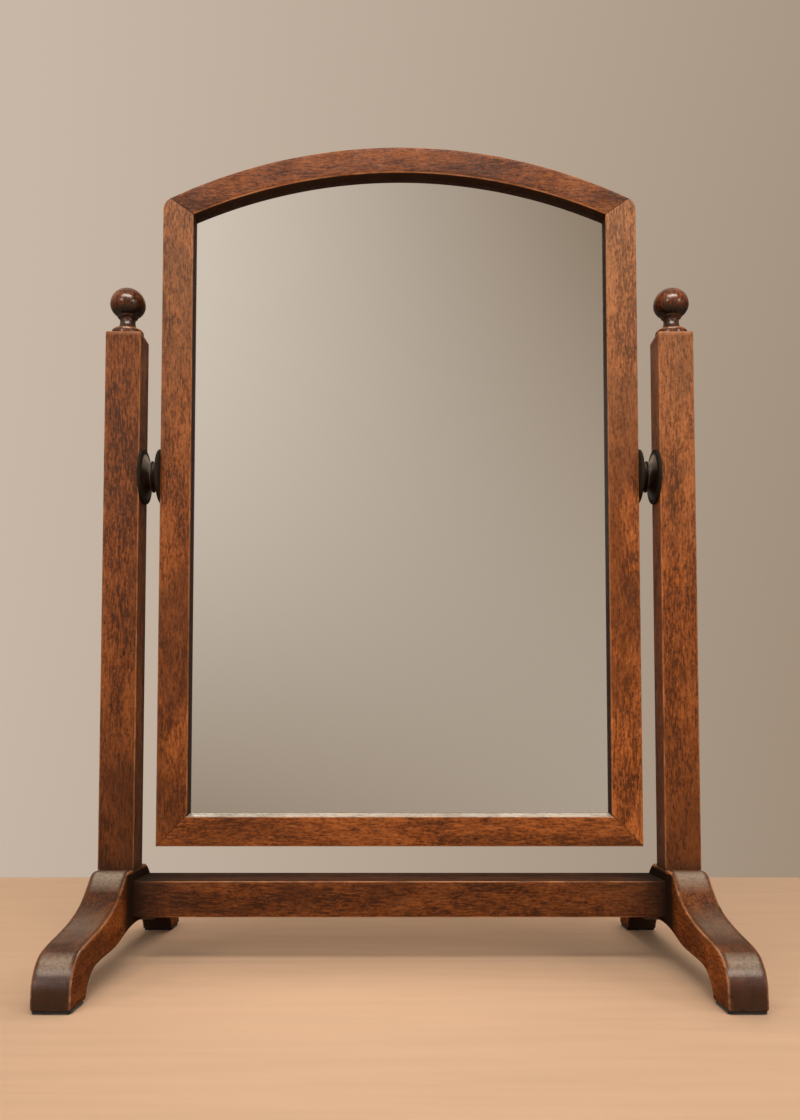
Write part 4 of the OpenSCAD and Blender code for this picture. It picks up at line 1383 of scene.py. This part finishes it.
class MIRROR_OT_stage(Operator):
    """Set the camera, the floor, the backdrop and the soft studio light"""
    bl_idname = "mirror.stage"
    bl_label = "Stage"

    def put_up(self, name, data, where, turned):
        """Puts a camera or a lamp in the scene."""
        obj = bpy.data.objects.new(name, data)
        bpy.context.scene.collection.objects.link(obj)
        obj.location = where
        obj.rotation_euler = turned
        return obj

    def camera(self, scene):
        """A camera that sees the mirror as the photograph shows it."""
        data = bpy.data.cameras.new("camera")
        data.sensor_width = 36
        data.lens = 33.75
        data.shift_x = 0.00045
        data.shift_y = 0.11043
        data.clip_start = 0.01
        scene.camera = self.put_up("camera", data, (0, -0.78348, 0.16222), (math.radians(93.0701), 0, 0))

    def floor(self):
        """A pale floor from behind the camera to the foot of the wall, with painted shade that darkens it
        to the right.
        """
        deselect()
        bpy.ops.mesh.primitive_grid_add(x_subdivisions=8, y_subdivisions=8, size=1,
                                        location=(0, -0.364, -0.0005))
        floor = bpy.context.object
        floor.name = "floor"
        floor.scale = (7.2, 1.672, 1)
        settle()
        r = Recipe("pale_floor")
        grain = r.noise(r.mapped(r.place, scale=(0.12, 1, 1)), 60, 4, 0.55)
        colour = r.mix(r.range(grain, 0.3, 0.7), colour_of("floor", 0.94), colour_of("floor"))
        shaded = r.range(r.axes(r.place)[X], -0.1, 0.55, 0, 0.4)
        colour = r.mix(shaded, colour, colour_of("floor", 0.5))
        floor.data.materials.append(r.set(Base_Color=colour, Roughness=0.62, Specular_IOR_Level=0.05))

    def surroundings(self, scene):
        """A soft light from all round, and the wall and room that the camera and the glass see."""
        world = bpy.data.worlds.new("studio")
        scene.world = world
        world.use_nodes = True
        t = Tree(world.node_tree)
        x, y, z = t.axes(t.node("ShaderNodeTexCoord").outputs["Generated"])
        wall = t.mix(t.times(z, 0.25, t.times(x, -1.25, 0.5)), colour_of("shaded"), colour_of("backdrop"))
        hump = t.sums("POWER", t.sums("ABSOLUTE", t.sums("SUBTRACT", z, 0.3)), 2)
        slant = t.times(x, t.sums("SUBTRACT", z, 0.07))
        room = t.times(hump, -2.2, t.times(slant, -6.6, t.times(x, -0.3, 0.6)))
        room = t.mix(room, darker(srgb(133, 116, 98), 1.1), darker(srgb(204, 192, 179), 1.1))
        rise = t.sums("MAXIMUM", t.times(z, 2, -0.1), 0.4)
        around = t.mix(t.times(y, 6, 0.5), room, t.mix(rise, (0, 0, 0), wall))
        around = t.mix(t.times(z, 2.2, -1.3), around, srgb(205, 197, 186))

        rays = t.node("ShaderNodeLightPath").outputs
        looking = t.sums("MAXIMUM", rays["Is Camera Ray"], rays["Is Glossy Ray"])
        looking = t.sums("MAXIMUM", looking, rays["Is Transmission Ray"])
        light = t.node("ShaderNodeBackground", {"Color": (*srgb(255, 250, 244), 1), "Strength": 0.21})
        view = t.node("ShaderNodeBackground", {"Color": t.mix(rays["Is Glossy Ray"], wall, around),
                                               "Strength": 1})
        choice = t.node("ShaderNodeMixShader", {0: looking, 1: light.outputs[0], 2: view.outputs[0]})
        t.node("ShaderNodeOutputWorld", {"Surface": choice.outputs[0]})

    def lamp(self, name, where, aim_z, wide, tall, power, hidden):
        """A soft lamp that aims at a height above the origin, hidden or not from one kind of ray."""
        data = bpy.data.lights.new(name, "AREA")
        data.shape = "RECTANGLE"
        data.size = wide
        data.size_y = tall
        data.energy = power
        data.color = srgb(255, 251, 245)
        aim = Vector((0, 0, aim_z)) - Vector(where)
        lamp = self.put_up(name, data, where, aim.to_track_quat("-Z", "Y").to_euler())
        if hidden:
            setattr(lamp, hidden, False)

    def execute(self, context):
        scene = context.scene
        scene.view_settings.view_transform = "Standard"
        self.camera(scene)
        self.floor()
        self.surroundings(scene)
        for name, where, aim_z, wide, tall, power, hidden in (
                ("key", (0.1, -2.3, 2.8), 0.3, 2.4, 1.0, 72, None),
                ("glint", (0, -2.3, 2.8), 0.3, 3.4, 1.0, 95, "visible_diffuse"),
                ("left", (-1.25, -2.0, 0.95), 0.3, 0.5, 0.6, 12, None),
                ("right", (1.5, -1.6, 0.85), 0.3, 0.5, 0.6, 12, None),
                ("top", (-0.1, -0.4, 2.2), 0.1, 1.3, 0.8, 9, "visible_glossy"),
                ("back", (0.5, 1.9, 1.6), 0.3, 1.4, 1.2, 24, "visible_glossy")):
            self.lamp(name, where, aim_z, wide, tall, power, hidden)
        return {"FINISHED"}


OPERATORS = (MIRROR_OT_feet, MIRROR_OT_posts, MIRROR_OT_rail, MIRROR_OT_frame, MIRROR_OT_glass,
             MIRROR_OT_backing, MIRROR_OT_finials, MIRROR_OT_spools, MIRROR_OT_pivots,
             MIRROR_OT_underside, MIRROR_OT_joinery, MIRROR_OT_stage)


class MIRROR_PT_pieces(Panel):
    """Pieces and finishes of the dressing table mirror"""
    bl_label = "Dressing Table Mirror"
    bl_idname = "MIRROR_PT_pieces"
    bl_space_type = "VIEW_3D"
    bl_region_type = "UI"
    bl_category = "Mirror"

    def draw(self, context):
        for operator in OPERATORS:
            self.layout.operator(operator.bl_idname)
        for group in GROUPS:
            box = self.layout.box()
            values = sizes(group)
            for name in values.__annotations__:
                box.prop(values, name)


GROUPS = {"stand_sizes": StandSizes, "frame_sizes": FrameSizes, "turned_sizes": TurnedSizes,
          "finishes": Finishes}


def register():
    for group in GROUPS.values():
        bpy.utils.register_class(group)
    for operator in OPERATORS:
        bpy.utils.register_class(operator)
    bpy.utils.register_class(MIRROR_PT_pieces)
    for name, group in GROUPS.items():
        setattr(bpy.types.Scene, name, PointerProperty(type=group))


def unregister():
    for name in GROUPS:
        delattr(bpy.types.Scene, name)
    bpy.utils.unregister_class(MIRROR_PT_pieces)
    for operator in reversed(OPERATORS):
        bpy.utils.unregister_class(operator)
    for group in GROUPS.values():
        bpy.utils.unregister_class(group)


def main():
    register()
    for operator in OPERATORS:
        group, name = operator.bl_idname.split(".")
        getattr(getattr(bpy.ops, group), name)()
    deselect()
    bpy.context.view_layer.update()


if __name__ == "__main__":
    main()
